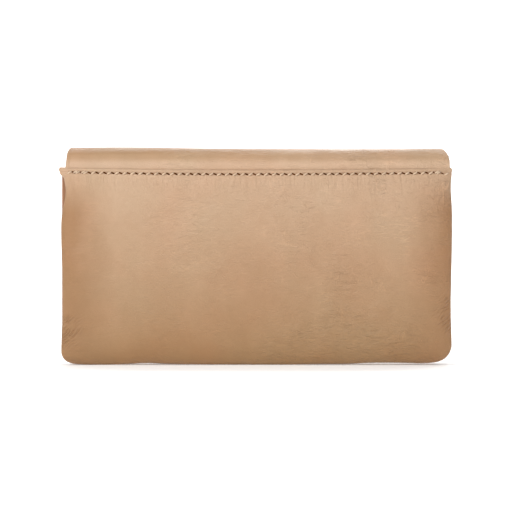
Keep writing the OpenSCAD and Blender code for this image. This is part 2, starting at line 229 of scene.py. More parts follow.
def arc(cx, cy, a, b, start, end, power=2.0, count=60):
    """Points on |x/a|^power + |y/b|^power = 1 round (cx, cy), between two angles in degrees."""
    t = np.radians(np.linspace(start, end, count))
    x = np.sign(np.cos(t)) * np.abs(np.cos(t)) ** (2 / power)
    y = np.sign(np.sin(t)) * np.abs(np.sin(t)) ** (2 / power)
    return np.stack([cx + a * x, cy + b * y], 1)


class Path:
    """A plane line through given stretches of points, read by the distance along it."""

    def __init__(self, *stretches):
        points = np.concatenate([np.asarray(s, float).reshape(-1, 2) for s in stretches])
        gap = np.hypot(*np.diff(points, axis=0).T)
        self.points = points[np.concatenate([[True], gap > 1e-9])]
        self.marks = np.concatenate([[0.0], np.cumsum(gap[gap > 1e-9])])
        self.length = self.marks[-1]

    def at(self, s):
        """Both coordinates at distance s."""
        return np.interp(s, self.marks, self.points[:, 0]), np.interp(s, self.marks, self.points[:, 1])

    def left_normal(self, s):
        """Unit normal on the left of the direction of travel at distance s."""
        a0, b0 = self.at(np.clip(s - 0.4, 0, self.length))
        a1, b1 = self.at(np.clip(s + 0.4, 0, self.length))
        run = np.hypot(a1 - a0, b1 - b0)
        return -(b1 - b0) / run, (a1 - a0) / run


def soften(points, reach, step=0.15):
    """The polyline through points with its bends rounded: resampled evenly, then averaged over reach."""
    line = Path(points)
    s = spread(0, line.length, step)
    a, b = line.at(s)
    count = max(3, int(reach / step) | 1)
    pad = count // 2

    def average(v):
        longer = np.concatenate([2 * v[0] - v[pad:0:-1], v, 2 * v[-1] - v[-2:-pad - 2:-1]])
        return np.convolve(longer, np.ones(count) / count, "valid")

    return np.stack([average(a), average(b)], 1)


# ---------------------------------------------------------------- meshes


def grid(x, y, z):
    """One array of points from three coordinates, each an array or a single number."""
    return np.stack(np.broadcast_arrays(x, y, z), -1)


def grid_quads(index):
    """The quads between the vertex numbers of a grid, one for each cell."""
    return np.stack([index[:-1, :-1], index[:-1, 1:], index[1:, 1:], index[1:, :-1]], -1).reshape(-1, 4)


def corner_inset(dx, dz, radius):
    """Distance in from an outline at distances dx and dz from two edges that meet in a round corner."""
    in_corner = (dx < radius) & (dz < radius)
    return np.where(in_corner, radius - np.hypot(radius - dx, radius - dz), np.minimum(dx, dz))


def normals(middle):
    """Unit normals of a grid of points: the cross product of its two grid directions."""
    n = np.cross(np.gradient(middle, axis=0), np.gradient(middle, axis=1))
    return n / np.maximum(np.linalg.norm(n, axis=2, keepdims=True), 1e-12)


def rim(inset, radius):
    """Share of a sheet's half thickness at a distance in from its edge, for a half-round edge."""
    t = np.clip(1 - inset / radius, 0, 1)
    return np.sqrt(1 - t * t)


def leaf(middle, outer, inner, keep=None, flip=False):
    """A closed sheet: its outside is middle + normal * outer and its inside middle - normal * inner,
    with a wall of quads along each open edge of the kept grid cells. Returns vertices and faces."""
    if flip:
        middle, outer, inner = middle[:, ::-1], outer[:, ::-1], inner[:, ::-1]
        keep = None if keep is None else keep[:, ::-1]
    n, m = middle.shape[:2]
    keep = np.ones((n - 1, m - 1), bool) if keep is None else keep
    normal = normals(middle)
    points = np.concatenate([(middle + normal * outer[..., None]).reshape(-1, 3),
                             (middle - normal * inner[..., None]).reshape(-1, 3)])
    index = np.arange(n * m).reshape(n, m)
    quads = np.stack([index[:-1, :-1], index[1:, :-1], index[1:, 1:], index[:-1, 1:]], -1)[keep]
    faces = [quads, quads[:, ::-1] + n * m]
    around = np.pad(keep, 1)
    for (di, dj), (ai, aj), (bi, bj) in (((0, -1), (0, 0), (1, 0)), ((1, 0), (1, 0), (1, 1)),
                                         ((0, 1), (1, 1), (0, 1)), ((-1, 0), (0, 1), (0, 0))):
        i, j = np.nonzero(keep & ~around[1 + di:n + di, 1 + dj:m + dj])
        a, b = index[i + ai, j + aj], index[i + bi, j + bj]
        faces.append(np.stack([b, a, a + n * m, b + n * m], 1))
    return points, np.concatenate(faces)


def tube(path, across, up, sides=12, power=2.0, loop=False):
    """A bar along path: a superellipse of half sizes across and up, carried at right angles to the path,
    where up leans towards +Z. Ends are closed to a point unless it is a loop."""
    path = np.asarray(path, float)
    ahead = np.gradient(path, axis=0)
    if loop:
        ahead = np.roll(path, -1, 0) - np.roll(path, 1, 0)
    ahead /= np.linalg.norm(ahead, axis=1, keepdims=True)
    side = np.cross(ahead, np.array([0.02, 0.01, 1.0]))
    side /= np.linalg.norm(side, axis=1, keepdims=True)
    above = np.cross(side, ahead)
    ring = arc(0, 0, 1, 1, 0, 360, power, sides + 1)[:-1]
    n = len(path)
    across = np.broadcast_to(across, n)
    up = np.broadcast_to(up, n)
    points = (path[:, None] + side[:, None] * (ring[:, 0] * across[:, None])[..., None]
              + above[:, None] * (ring[:, 1] * up[:, None])[..., None])
    if not loop:
        points = np.concatenate([np.repeat(path[:1, None], sides, 1), points,
                                 np.repeat(path[-1:, None], sides, 1)])
        n += 2
    index = np.arange(n * sides).reshape(n, sides)
    index = np.concatenate([index, index[:, :1]], 1)
    if loop:
        index = np.concatenate([index, index[:1]])
    return points.reshape(-1, 3), grid_quads(index)


def lathe(profile, centre, sides=72):
    """Profile points (radius, y) carried round the Y axis through centre. A profile that runs from the
    axis, out and back to the axis makes a closed solid."""
    profile = np.asarray(profile, float)
    turn = np.linspace(0, 2 * np.pi, sides, endpoint=False)
    radius = profile[:, 0][:, None]
    points = grid(centre[0] + radius * np.cos(turn), centre[1] + profile[:, 1][:, None],
                  centre[2] + radius * np.sin(turn))
    index = np.arange(points.shape[0] * sides).reshape(-1, sides)
    index = np.concatenate([index, index[:, :1]], 1)
    return points.reshape(-1, 3), grid_quads(index)


def repeat(points, faces, places, along, out):
    """Copies a small shape: its X lies along `along`, its Y points `out`, and its origin is at each place."""
    side = np.cross(along, out)
    count, size = len(places), len(points)
    moved = (places[:, None] + points[None, :, :1] * along[:, None] + points[None, :, 1:2] * out[:, None]
             + points[None, :, 2:] * side[:, None])
    shift = np.arange(count)[:, None, None] * size
    return moved.reshape(-1, 3), (faces[None] + shift).reshape(-1, 4)


def add_piece(name, parts, material, body=None, sharp=50):
    """Makes one mesh object from (vertices, faces) parts in millimetres, with doubles merged, faces
    smooth up to `sharp` degrees, and its material; it rides on body when one is given."""
    points, faces, start = [], [], 0
    for part_points, part_faces in parts:
        points.append(part_points)
        faces.append(part_faces + start)
        start += len(part_points)
    points = np.concatenate(points) * MM
    faces = np.concatenate(faces)
    mesh = bpy.data.meshes.new(name)
    mesh.vertices.add(len(points))
    mesh.vertices.foreach_set("co", points.ravel())
    mesh.loops.add(faces.size)
    mesh.loops.foreach_set("vertex_index", faces.ravel())
    mesh.polygons.add(len(faces))
    mesh.polygons.foreach_set("loop_start", np.arange(0, faces.size, 4))
    mesh.update(calc_edges=True)
    work = bmesh.new()
    work.from_mesh(mesh)
    bmesh.ops.remove_doubles(work, verts=work.verts, dist=2e-6)
    bmesh.ops.dissolve_degenerate(work, edges=work.edges, dist=1e-7)
    work.to_mesh(mesh)
    work.free()
    mesh.validate()
    mesh.polygons.foreach_set("use_smooth", np.ones(len(mesh.polygons), bool))
    mesh.set_sharp_from_angle(angle=math.radians(sharp))
    mesh.materials.append(finish(material))
    piece = bpy.data.objects.new(name, mesh)
    bpy.context.scene.collection.objects.link(piece)
    if body:
        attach(piece, body)
    return piece


# ---------------------------------------------------------------- node materials


class Value:
    """A socket's number; an expression on it adds Math nodes."""

    def __init__(self, owner, socket):
        self.owner = owner
        self.socket = socket

    def __add__(self, other):
        return self.owner.math("ADD", self, other)

    def __radd__(self, other):
        return self.owner.math("ADD", other, self)

    def __sub__(self, other):
        return self.owner.math("SUBTRACT", self, other)

    def __rsub__(self, other):
        return self.owner.math("SUBTRACT", other, self)

    def __mul__(self, other):
        return self.owner.math("MULTIPLY", self, other)

    def __rmul__(self, other):
        return self.owner.math("MULTIPLY", other, self)

    def __truediv__(self, other):
        return self.owner.math("DIVIDE", self, other)

    def __abs__(self):
        return self.owner.math("ABSOLUTE", self)

    def between(self, low, high):
        """0 at low, 1 at high, straight between and held outside."""
        return self.owner.math("ADD", (self - low) / (high - low), 0, clamp=True)

    def bell(self, centre, width):
        """1 at centre, falling to 0 at a distance of width."""
        return 1 - abs(self - centre).between(0, width)


class Finish:
    """One node material: a Principled shader and the nodes that vary it."""

    def __init__(self, name):
        self.material = bpy.data.materials.new(name)
        self.material.use_nodes = True
        self.tree = self.material.node_tree
        self.shader = self.tree.nodes["Principled BSDF"]

    def node(self, kind, settings=None, sockets=None):
        """Adds a node: its settings first, then its sockets, each a value or a link."""
        made = self.tree.nodes.new(kind)
        for name, value in (settings or {}).items():
            setattr(made, name, value)
        for key, value in (sockets or {}).items():
            self.feed(made.inputs[key], value)
        return made

    def feed(self, socket, value):
        """Links a Value or a socket, or sets a plain value."""
        if isinstance(value, Value):
            self.tree.links.new(value.socket, socket)
        elif isinstance(value, bpy.types.NodeSocket):
            self.tree.links.new(value, socket)
        else:
            socket.default_value = value

    def math(self, operation, a, b=0.0, clamp=False):
        """One Math node on two numbers or Values."""
        made = self.node("ShaderNodeMath", {"operation": operation, "use_clamp": clamp}, {0: a, 1: b})
        return Value(self, made.outputs[0])

    def place(self):
        """Object coordinates, in metres."""
        return self.node("ShaderNodeTexCoord").outputs["Object"]

    def parts(self, vector):
        """The three coordinates in millimetres."""
        split = self.node("ShaderNodeSeparateXYZ", None, {0: vector})
        return [Value(self, output) * 1000 for output in split.outputs]

    def stretched(self, vector, scale, turn=(0, 0, 0)):
        """Coordinates scaled along each axis, after a turn in radians."""
        made = self.node("ShaderNodeMapping", None, {"Vector": vector, "Scale": scale, "Rotation": turn})
        return made.outputs[0]

    def noise(self, vector, size, detail=2.0, rough=0.5, bend=0.0):
        """Noise from 0 to 1 whose lumps are about size millimetres."""
        made = self.node("ShaderNodeTexNoise", None, {
            "Vector": vector, "Scale": 1000 / size, "Detail": detail, "Roughness": rough, "Distortion": bend})
        return Value(self, made.outputs[0])

    def cells(self, vector, size, feature="F1"):
        """Distance to cell points or cell edges, for cells about size millimetres."""
        made = self.node("ShaderNodeTexVoronoi", {"feature": feature},
                         {"Vector": vector, "Scale": 1000 / size})
        return Value(self, made.outputs["Distance"])

    def mix(self, a, b, factor, blend="MIX"):
        """Colour a, moved towards b by the factor."""
        made = self.node("ShaderNodeMix", {"data_type": "RGBA", "blend_type": blend},
                         {0: factor, 6: a, 7: b})
        return made.outputs[2]

    def tint(self, colour, by, share):
        """The colour multiplied by another one as far as the share goes."""
        return self.mix(colour, (*by, 1), share, "MULTIPLY")

    def bump(self, height_mm):
        """Leans the normal by a height in millimetres."""
        made = self.node("ShaderNodeBump", None, {"Height": height_mm, "Distance": MM, "Strength": 1.0})
        self.feed(self.shader.inputs["Normal"], made.outputs[0])

    def shade(self, **sockets):
        """Sets or links the shader's sockets, named with _ for a space."""
        for name, value in sockets.items():
            key = " ".join(word.capitalize() for word in name.split("_"))
            key = key.replace("Ior", "IOR")
            self.feed(self.shader.inputs[key], value)
        return self.material


def rgb(colour, scale=1.0, shift=(1, 1, 1)):
    """A colour with its brightness scaled and its channels shifted, as four numbers."""
    return tuple(min(1.0, c * scale * s) for c, s in zip(colour, shift)) + (1.0,)


def painted_shade_colour(f, tone, painted_shade_tone, x, z, patch, drift):
    """The tone, deepened towards the worn one low down, at the sides, along the foot and over the top of
    the roll, with a paler band at the roll's foot and a darker line along its crown."""
    # painted shade: darker towards the bottom, with a noisy edge
    painted_height_shade = (z + (patch - 0.5) * 22).between(0, 90)
    # painted shade at the sides, fading out near the top
    painted_side_shade = abs(x - 2 + (drift - 0.5) * 8).between(70, 91) * z.between(96, 74)
    # painted shade over the top of the roll, stronger to the left
    painted_roll_shade = z.between(98.5, 101.0) * (0.48 - 0.26 * x.between(-60, 30))
    # painted highlight: a paler band at the roll's foot, stronger to the right
    painted_band_highlight = z.bell(97.9, 2.8) * (0.1 + 0.9 * x.between(-80, 40))
    deep = f.mix(rgb(painted_shade_tone), rgb(tone), painted_height_shade)
    deep = f.mix(deep, rgb(painted_shade_tone, 0.94, (1, 0.93, 0.94)), painted_side_shade * 0.9)
    # painted shade along the foot, where the leather turns under
    deep = f.mix(deep, rgb(painted_shade_tone, 0.92), z.between(9, -1) * 0.5)
    deep = f.mix(deep, rgb(painted_shade_tone, 1.0, (1.05, 1.0, 0.84)), painted_roll_shade)
    deep = f.tint(deep, (1.13, 1.14, 1.16), painted_band_highlight)
    # painted shade: a darker line along the roll's crown
    return f.tint(deep, (0.84, 0.78, 0.70), z.between(102.6, 105.0))


def leather_finish(name, tone, painted_shade_tone=None, grain=1.0, crease=1.0, gloss=0.44):
    """Nappa, whose colour drifts between a pinker and a yellower tan in patches, and is worn if a worn
    tone is given. Pores are 0.85 mm cells. Fine raised lines, level or slanted, lie where stretched noise
    crosses its middle. Short upright puckers hang below the top seam, and a bent sine wave makes small
    folds at the lower corners."""
    f = Finish(name)
    place = f.place()
    x, y, z = f.parts(place)
    patch = f.noise(place, 36, 2)
    drift = f.noise(f.stretched(place, (1, 1, 0.6), (0.2, 0.4, 0.1)), 13, 3)
    haze = f.noise(place, 5.0, 3, 0.55)
    pore = f.cells(place, 0.85, "DISTANCE_TO_EDGE").between(0, 0.22)
    flat = f.stretched(place, (0.22, 0.8, 1.25), (0, 0.06, 0))
    slant = f.stretched(place, (0.8, 0.8, 0.28), (0, 0.5, 0))
    line = abs(f.noise(flat, 3.0, 2, 0.5, 0.12) - 0.5).between(0.0, 0.040)
    tick = abs(f.noise(slant, 3.6, 2, 0.5, 0.15) - 0.5).between(0.0, 0.030)
    worked = f.noise(place, 19, 2, 0.5).between(0.50, 0.66) * (0.45 + 0.55 * x.between(-60, 40))
    marked = f.noise(place, 12, 1, 0.5).between(0.55, 0.68) * x.between(-30, 75)
    fine_line = (1 - line) * worked * crease
    fine_tick = (1 - tick) * marked * crease
    pucker = f.noise(f.stretched(place, (1, 0.4, 0.2)), 1.5, 2) * z.bell(89, 7.5) * y.between(-10, -13)
    crimp = f.noise(f.stretched(place, (0.42, 0.7, 1)), 2.3, 3, 0.62, 1.1)
    crimped = f.noise(place, 24, 2, 0.55).between(0.30, 0.66) * (0.35 + 0.65 * x.between(-70, 30))
    scuff = f.noise(f.stretched(place, (0.9, 0.7, 0.35), (0, 0.6, 0)), 2.0, 2, 0.55, 0.7)
    scuffed = x.between(10, 75) * z.between(50, 76) * crimped
    fold = f.math("SINE", (z * 0.75 - x * 0.65 + f.noise(place, 6, 1) * 3.4) * (2 * math.pi / 1.55))
    at_corners = x.between(-82, -92) * z.bell(17, 11) + x.between(84, 93) * z.bell(25, 13)
    folded = at_corners * y.between(-6, -10)
    folds = fold * folded.between(0.05, 0.6) * f.noise(place, 3.5, 1).between(0.3, 0.55) * crease
    deep = painted_shade_colour(f, tone, painted_shade_tone, x, z, patch, drift) if painted_shade_tone else rgb(tone)
    hide = f.mix(f.tint(deep, (1.012, 0.982, 0.950), 1.0), f.tint(deep, (0.985, 1.015, 0.99), 1.0),
                 patch.between(0.34, 0.66))
    for by, share in (((1.07, 1.06, 1.08), drift.between(0.45, 0.72) * 0.8),
                      ((0.93, 0.90, 0.86), haze.between(0.45, 0.8) * 0.5),
                      # painted highlight: the fine raised lines are tinted lighter
                      ((1.20, 1.18, 1.17), fine_line * 0.65 + fine_tick * 0.75),
                      # painted shade: the corner folds are darker in their troughs
                      ((0.70, 0.58, 0.46), folds.between(0.1, 1) * 0.6),
                      ((0.86, 0.82, 0.78), (1 - pore) * 0.22 * grain)):
        hide = f.tint(hide, by, share)
    f.bump(pore * 0.034 * grain + haze * 0.10 + drift * 0.16 + pucker * 0.75 + crimp * crimped * 1.15 * crease
           + scuff * scuffed * 0.9 * crease + fine_line * 0.10 + fine_tick * 0.11 - folds * 0.17)
    return f.shade(base_color=hide, roughness=gloss + haze * 0.12 - patch * 0.06, specular_ior_level=0.42)


def outer_leather():
    return leather_finish("outer_leather", colours().leather, colours().painted_shade_tone)


def inner_leather():
    return leather_finish("inner_leather", tuple(c * 0.88 for c in colours().leather), None, 0.8, 0.6, 0.5)


def gusset_leather():
    return leather_finish("gusset_leather", colours().gusset, None, 0.7, 1.0, 0.52)


def lining():
    """Plain weave: warp and weft are raised by turns on a 0.5 mm chequer."""
    f = Finish("lining")
    place = f.place()
    x, y, z = f.parts(place)
    warp = f.math("SINE", x * (2 * math.pi / 0.9))
    weft = f.math("SINE", (z + y) * (2 * math.pi / 0.9))
    weave = warp * weft
    slub = f.noise(f.stretched(place, (0.15, 1, 1)), 1.4, 2)
    wear = f.noise(place, 22, 2)
    tone = colours().lining
    painted_weave_shade = f.mix(rgb(tone, 0.86), rgb(tone, 1.18), weave.between(-0.8, 0.9))
    slubbed = f.mix(painted_weave_shade, rgb(tone, 1.5, (1, 1.02, 1.05)), slub.between(0.5, 0.8) * 0.4)
    aged = f.mix(slubbed, rgb(tone, 0.8), wear.between(0.4, 0.7) * 0.3)
    f.bump(weave * 0.03 + slub * 0.05)
    return f.shade(base_color=aged, roughness=0.82 + wear * 0.1, specular_ior_level=0.25, sheen_weight=0.06)


def foam():
    """Closed cells about 0.9 mm across."""
    f = Finish("foam")
    place = f.place()
    cell = f.cells(place, 0.9).between(0.1, 0.7)
    cloud = f.noise(place, 14, 2)
    tone = (0.80, 0.75, 0.62)
    base = f.mix(rgb(tone, 0.8), rgb(tone, 1.08), cell)
    f.bump(cell * 0.08)
    return f.shade(base_color=f.mix(base, rgb(tone, 0.9, (1, 0.97, 0.9)), cloud), roughness=0.9)


def board():
    """Bonded fibres lying every way."""
    f = Finish("board")
    place = f.place()
    fibre = f.noise(f.stretched(place, (0.3, 1, 1), (0, 0.6, 0)), 1.6, 4, 0.6)
    fleck = f.noise(place, 0.7, 3)
    tone = (0.36, 0.27, 0.18)
    base = f.mix(rgb(tone, 0.7), rgb(tone, 1.25), fibre.between(0.3, 0.7))
    f.bump(fibre * 0.06)
    return f.shade(base_color=f.mix(base, rgb(tone, 0.5), fleck.between(0.6, 0.8) * 0.5), roughness=0.85)


def thread():
    """Two twisted plies: slanted stripes 0.3 mm apart."""
    f = Finish("thread")
    place = f.place()
    x, y, z = f.parts(place)
    ply = f.math("SINE", (x + z * 1.6 + y) * (2 * math.pi / 0.42))
    tone = colours().thread
    fuzz = f.noise(place, 0.5, 3)
    base = f.mix(rgb(tone, 0.72, (1, 0.95, 0.9)), rgb(tone, 1.12), ply.between(-0.7, 0.8))
    f.bump(ply * 0.04 + fuzz * 0.03)
    return f.shade(base_color=base, roughness=0.5 + fuzz * 0.15, sheen_weight=0.15)


def needle_hole_shade():
    """The shaded inside of an awl hole: dark brown, a little uneven."""
    f = Finish("needle_hole_shade")
    speck = f.noise(f.place(), 0.6, 2)
    base = f.mix((0.050, 0.015, 0.003, 1), (0.15, 0.050, 0.013, 1), speck.between(0.3, 0.75))
    return f.shade(base_color=base, roughness=0.9, specular_ior_level=0.08)


def zip_tape():
    """Herringbone: stripes that slant one way and then the other in bands 1.6 mm wide."""
    f = Finish("zip_tape")
    place = f.place()
    x, y, z = f.parts(place)
    down = z - y
    band = f.math("PINGPONG", down, 1.6)
    rib = f.math("SINE", (x + band) * (2 * math.pi / 0.7))
    tone = colours().tape
    fuzz = f.noise(place, 0.8, 2)
    base = f.mix(rgb(tone, 0.65), rgb(tone, 1.6), rib.between(-0.8, 0.8))
    f.bump(rib * 0.05 + fuzz * 0.03)
    return f.shade(base_color=base, roughness=0.74 + fuzz * 0.12, sheen_weight=0.2)


def metal_finish(name, gloss, brushed):
    """Light gold plate: fine scratches are stretched noise, handling leaves soft dull patches."""
    f = Finish(name)
    place = f.place()
    scratch = f.noise(f.stretched(place, (0.08, 1, 1), (0, 0.5, 0.4)), 0.35, 3, 0.6)
    touch = f.noise(place, 3.0, 2)
    tone = colours().metal
    base = f.mix(rgb(tone, 0.9, (1.0, 0.96, 0.9)), rgb(tone, 1.05), touch.between(0.3, 0.7))
    f.bump(scratch * brushed)
    return f.shade(base_color=base, metallic=1.0, roughness=gloss + touch * 0.14 + scratch * 0.06)


def zip_metal():
    return metal_finish("zip_metal", 0.20, 0.006)


def press_stud():
    return metal_finish("press_stud", 0.26, 0.010)


FINISHES = {make.__name__: make for make in (
    outer_leather, inner_leather, gusset_leather, lining, foam, board, thread, needle_hole_shade, zip_tape,
    zip_metal, press_stud)}
SLOTS = {name: name for name in FINISHES}
SLOTS["needle_hole_shade"] = "outer_leather"


def colours():
    """The colours set in the panel."""
    return bpy.context.scene.wallet_finish


def shape():
    """The sizes set in the panel."""
    return bpy.context.scene.wallet_shape


def finish(name):
    """The named material, made when it is first asked for."""
    return bpy.data.materials.get(name + "_finish") or rename(FINISHES[name](), name + "_finish")


def rename(item, name):
    item.name = name
    return item


# ---------------------------------------------------------------- the back


# How far the turned edge stands over the frame's, and the radii of the upper and the two lower corners
EDGE_RISE = 0.35
TOP_CORNER = 1.3
BACK_CORNER_LEFT, BACK_CORNER_RIGHT = 5.6, 9.0
# Distance along the leather from its top edge at which the back has turned under and the front starts
FRONT_START = 95
# Where the bottom stands off the ground: height, place along the wallet and width of each lift
BOTTOM_LIFTS = ((0.8, -54, 11), (0.3, -34, 14), (0.3, 31, 10), (1.2, 64, 19), (0.2, 92, 10))


def top_edge(x):
    """Height of the back's turned top edge: it sags between its ends, more towards the left."""
    sag = shape().edge_sag / MM
    return EDGE_Z + EDGE_RISE + sag * np.where(x < 0, 0.9, 0.75) * (x / HALF_W) ** 2


def bottom_lift(x):
    """How far the soft bottom stands off the ground: it rests on its left end and middle."""
    return sum(height * hump(x, place, width) for height, place, width in BOTTOM_LIFTS)


def side_left(z):
    """Half width to the left at a height: drawn in under the top corner, and a little lower down."""
    return HALF_W + 0.3 - 2.5 * hump(z, 84, 9.5) - 1.0 * hump(z, 34, 26) + 1.5 * smooth((z - 90) / 2.5)


def side_right(z):
    """Half width to the right at a height: straighter than the left."""
    return HALF_W + 0.6 - 0.6 * hump(z, 86, 7.5) - 0.6 * hump(z, 30, 20) + 0.1 * smooth((z - 90) / 2.5)


def corner_cut(z, radius):
    """How far a round lower corner of that radius cuts in at a height."""
    return radius * round_in(z, radius)


def back_path():
    """Seen from the side: down the back, round under, along the bottom and up to the front seam."""
    foot = shape().foot_height / MM
    back_y, front_y = BACK_Y + HALF_T, BACK_HIGH[1] - HALF_T
    back_turn, front_turn = 7.4, 6.4
    return Path(
        [[back_y, EDGE_Z]],
        arc(back_y + back_turn, foot, back_turn, foot - HALF_T, 180, 270, 2.15),
        arc(front_y - front_turn, FRONT_SEAM_Z, front_turn, FRONT_SEAM_Z - HALF_T, 270, 360, 2.1))


def back_relief(x, z, inset, on_back, to_front):
    """How far the back leather stands off its path: a padded dome, less the turn-in of its sides, with
    ripples, small folds at its lower corners, puckers under its top seam and a dent in each side."""
    turn = shape().side_turn / MM * (1 - 0.4 * to_front)
    drop = shape().side_drop / MM * (1 - 0.45 * to_front) * (1 - 0.6 * smooth((z - 84) / 8) * (1 - to_front))
    drop = drop * (0.25 + 0.75 * smooth((z - 1.5) / 11))
    swell = shape().back_swell / MM
    dome = (1 - np.abs(x / HALF_W) ** 5) * (0.35 + 0.65 * np.sin(np.pi * np.clip(z / 92, 0, 1)) ** 0.7)
    waves = ripple(x, z, 46, 5, 1.5) + 0.45 * ripple(x, z, 19, 11, 1.8) + 0.14 * ripple(x, z, 8, 3, 2.2)
    edge_waves = 0.16 * ripple(x, z, 9, 21, 0.9) * np.exp(-inset / 7)
    broad = (swell * dome * on_back - drop * round_in(inset, turn)
             + shape().ripple / MM * waves * (0.25 + 0.75 * on_back) * smooth((EDGE_Z - 4 - z) / 8)
             + edge_waves * on_back)
    at_corners = hump(x, -HALF_W, 11) * hump(z, 17, 7) + hump(x, HALF_W, 9) * hump(z, 26, 9)
    under_seam = np.exp(-(((EDGE_Z - 8 - z) / 4.5) ** 2)) * smooth(inset / 6)
    folds = 0.11 * ripple(x, z, 3.3, 77, 1.3) * at_corners
    puckers = 0.035 * ripple(z, x, 3.6, 78, 4.0) * under_seam
    creases = 0.022 * ripple(x, z, 4.6, 79, 2.2) * smooth((x + 70) / 110)
    dents = 0.25 * hump(z, 62, 10) * hump(x, -HALF_W, 12) + 0.22 * hump(z, 48, 9) * hump(x, HALF_W, 14)
    return broad + folds * on_back + puckers * on_back + creases * on_back - dents * on_back


def back_surface(s, across):
    """Middle surface of the back leather at distances s along its path and shares across of its
    half width, with the distance in from its side edges."""
    path = back_path()
    y0, z0 = (v[:, None] for v in path.at(s))
    ny, nz = (-v[:, None] for v in path.left_normal(s))
    cut = corner_cut(s[:, None], TOP_CORNER)
    left = side_left(z0) - corner_cut(z0 - HALF_T, BACK_CORNER_LEFT) - cut
    right = side_right(z0) - corner_cut(z0 - HALF_T, BACK_CORNER_RIGHT) - cut
    c = across[None, :]
    x = np.where(c < 0, c * left, c * right)
    inset = (1 - np.abs(c)) * np.where(c < 0, left, right)
    to_front = smooth((s[:, None] - FRONT_START) / 20)
    on_back = smooth((z0 - 3) / 16) * (1 - to_front)
    stand = back_relief(x, z0, inset, on_back, to_front)
    tall = smooth((z0 - 20) / (EDGE_Z - 20)) * (1 - to_front)
    lift = bottom_lift(x) * (1 - smooth((z0 - 1) / 22)) * (1 - 0.8 * to_front)
    return grid(x, y0 + ny * stand, z0 + nz * stand + (top_edge(x) - EDGE_Z) * tall + lift), inset


def hem_relief(d, depth=1.0):
    """Height of a turned, topstitched edge over the plain leather at distance d in from it: a bead, the
    seam's groove, and the leather rising again after it."""
    return depth * (0.34 * hump(d, 1.05, 0.6) - 0.30 * hump(d, SEAM_IN, 0.42)
                    + 0.12 * hump(d, SEAM_IN + 1.7, 1.2))


def plain_bead(d):
    """Height of an edge that is turned but not sewn, at distance d in from it."""
    return 0.22 * hump(d, 0.9, 0.7) - 0.10 * hump(d, 2.1, 0.5)


def back_leather():
    """The back, puckered a little by each stitch of its top seam."""
    s = lines(back_path().length, 0.85, HALF_T, 5.5, 0.3)
    across = lines(2 * HALF_W, 0.95, HALF_T, 12, 0.6) / HALF_W - 1
    middle, inset = back_surface(s, across)
    d = np.broadcast_to(s[:, None], inset.shape)
    border = np.minimum(np.minimum(d, back_path().length - d), inset)
    share = rim(border, HALF_T)
    puck = 0.10 * np.cos(middle[..., 0] * 2 * np.pi / STITCH_PITCH) * hump(d, SEAM_IN, 1.0)
    outer = (HALF_T + hem_relief(d) + puck) * share
    piece = add_piece("back_leather", [leaf(middle, outer, HALF_T * share)], "outer_leather", "back_half")
    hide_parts("back_panel")


def back_seam():
    """Stitches and awl holes in turn along the back's top edge, each laid on the leather's surface. The
    row drops at its right end, and a few more are sewn over it at both ends to lock the seam."""
    step = STITCH_PITCH / 2
    x = np.arange(-SEAM_HALF - step, SEAM_HALF + 2.6 * step, step)
    middle, _ = back_surface(np.array([SEAM_IN - 0.2, SEAM_IN + 0.2]), x / HALF_W)
    places = middle.mean(0)
    places[:, 1] -= HALF_T - 0.02
    places[:, 2] -= 0.7 * smooth((x - SEAM_HALF) / 3.5)
    lock = np.concatenate([places[1:4:2] + [0.9, -0.18, 0.34], places[-3:-2] + [-0.9, -0.18, 0.30]])
    row = np.concatenate([places[::2], lock])
    stitch_row("back_seam_stitches", row, -30, "back_half", "back_seam_thread", 2.2, 0.84, ahead=(1, 0, 0))
    hole_shade_row("back_seam_hole_shade", places[1::2], 24, "back_half", length=2.4, width=0.74)


def lay(places, degrees, out, ahead=None):
    """Directions of a row of stitches: along the row, turned by degrees round the outward direction."""
    if ahead is None:
        ahead = np.gradient(places, axis=0)
    else:
        ahead = np.tile(np.asarray(ahead, float), (len(places), 1))
    ahead /= np.linalg.norm(ahead, axis=1, keepdims=True)
    out = np.broadcast_to(np.asarray(out, float), ahead.shape)
    side = np.cross(ahead, out)
    turn = math.radians(degrees)
    return ahead * math.cos(turn) + side * math.sin(turn), out


def stitch_shape(length, width):
    """A thread's visible float: a round bar whose ends dip into the leather, at a height of
    width * (0.55(1 - t^2) - 0.12) for t from -1 to 1 along it."""
    t = np.array([-1, -0.86, -0.5, 0, 0.5, 0.86, 1])
    radius = width / 2 * np.sqrt(1 - 0.75 * t * t)
    return tube(grid(t * length / 2, width * (0.55 * (1 - t * t) - 0.12), 0), radius, radius, 8)


def stitch_row(name, places, degrees, body, node, length, width, out=(0, -1, 0), ahead=None):
    """One piece of stitches at the places, turned by degrees in the surface that faces out."""
    stitches = repeat(*stitch_shape(length, width), places, *lay(places, degrees, out, ahead))
    piece = add_piece(name, [stitches], "thread", body)
    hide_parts(node)


def hole_shape(length, width):
    """A flat lens: an ellipse length by width whose two faces bulge by 0.06 and 0.1 times 1 - r^2."""
    share = np.array([0.0, 0.45, 0.8, 1.0])
    turn = np.linspace(0, 2 * np.pi, 13)
    r, a = np.meshgrid(share, turn, indexing="ij")
    middle = grid(r * np.cos(a) * length / 2, 0 * r, r * np.sin(a) * width / 2)
    quads = grid_quads(np.arange(r.size).reshape(r.shape))
    above = middle + grid(0, 0.06 * (1 - r * r), 0)
    below = middle - grid(0, 0.1 * (1 - r * r), 0)
    points = np.concatenate([above.reshape(-1, 3), below.reshape(-1, 3)])
    return points, np.concatenate([quads, quads[:, ::-1] + r.size])


def hole_shade_row(name, places, degrees, body, out=(0, -1, 0), length=2.2, width=0.72):
    """One piece of awl holes at the places, just proud of the leather."""
    along, outward = lay(places, degrees, out)
    holes = repeat(*hole_shape(length, width), places + 0.10 * outward, along, outward)
    add_piece(name, [holes], "needle_hole_shade", body)


# ---------------------------------------------------------------- the flap


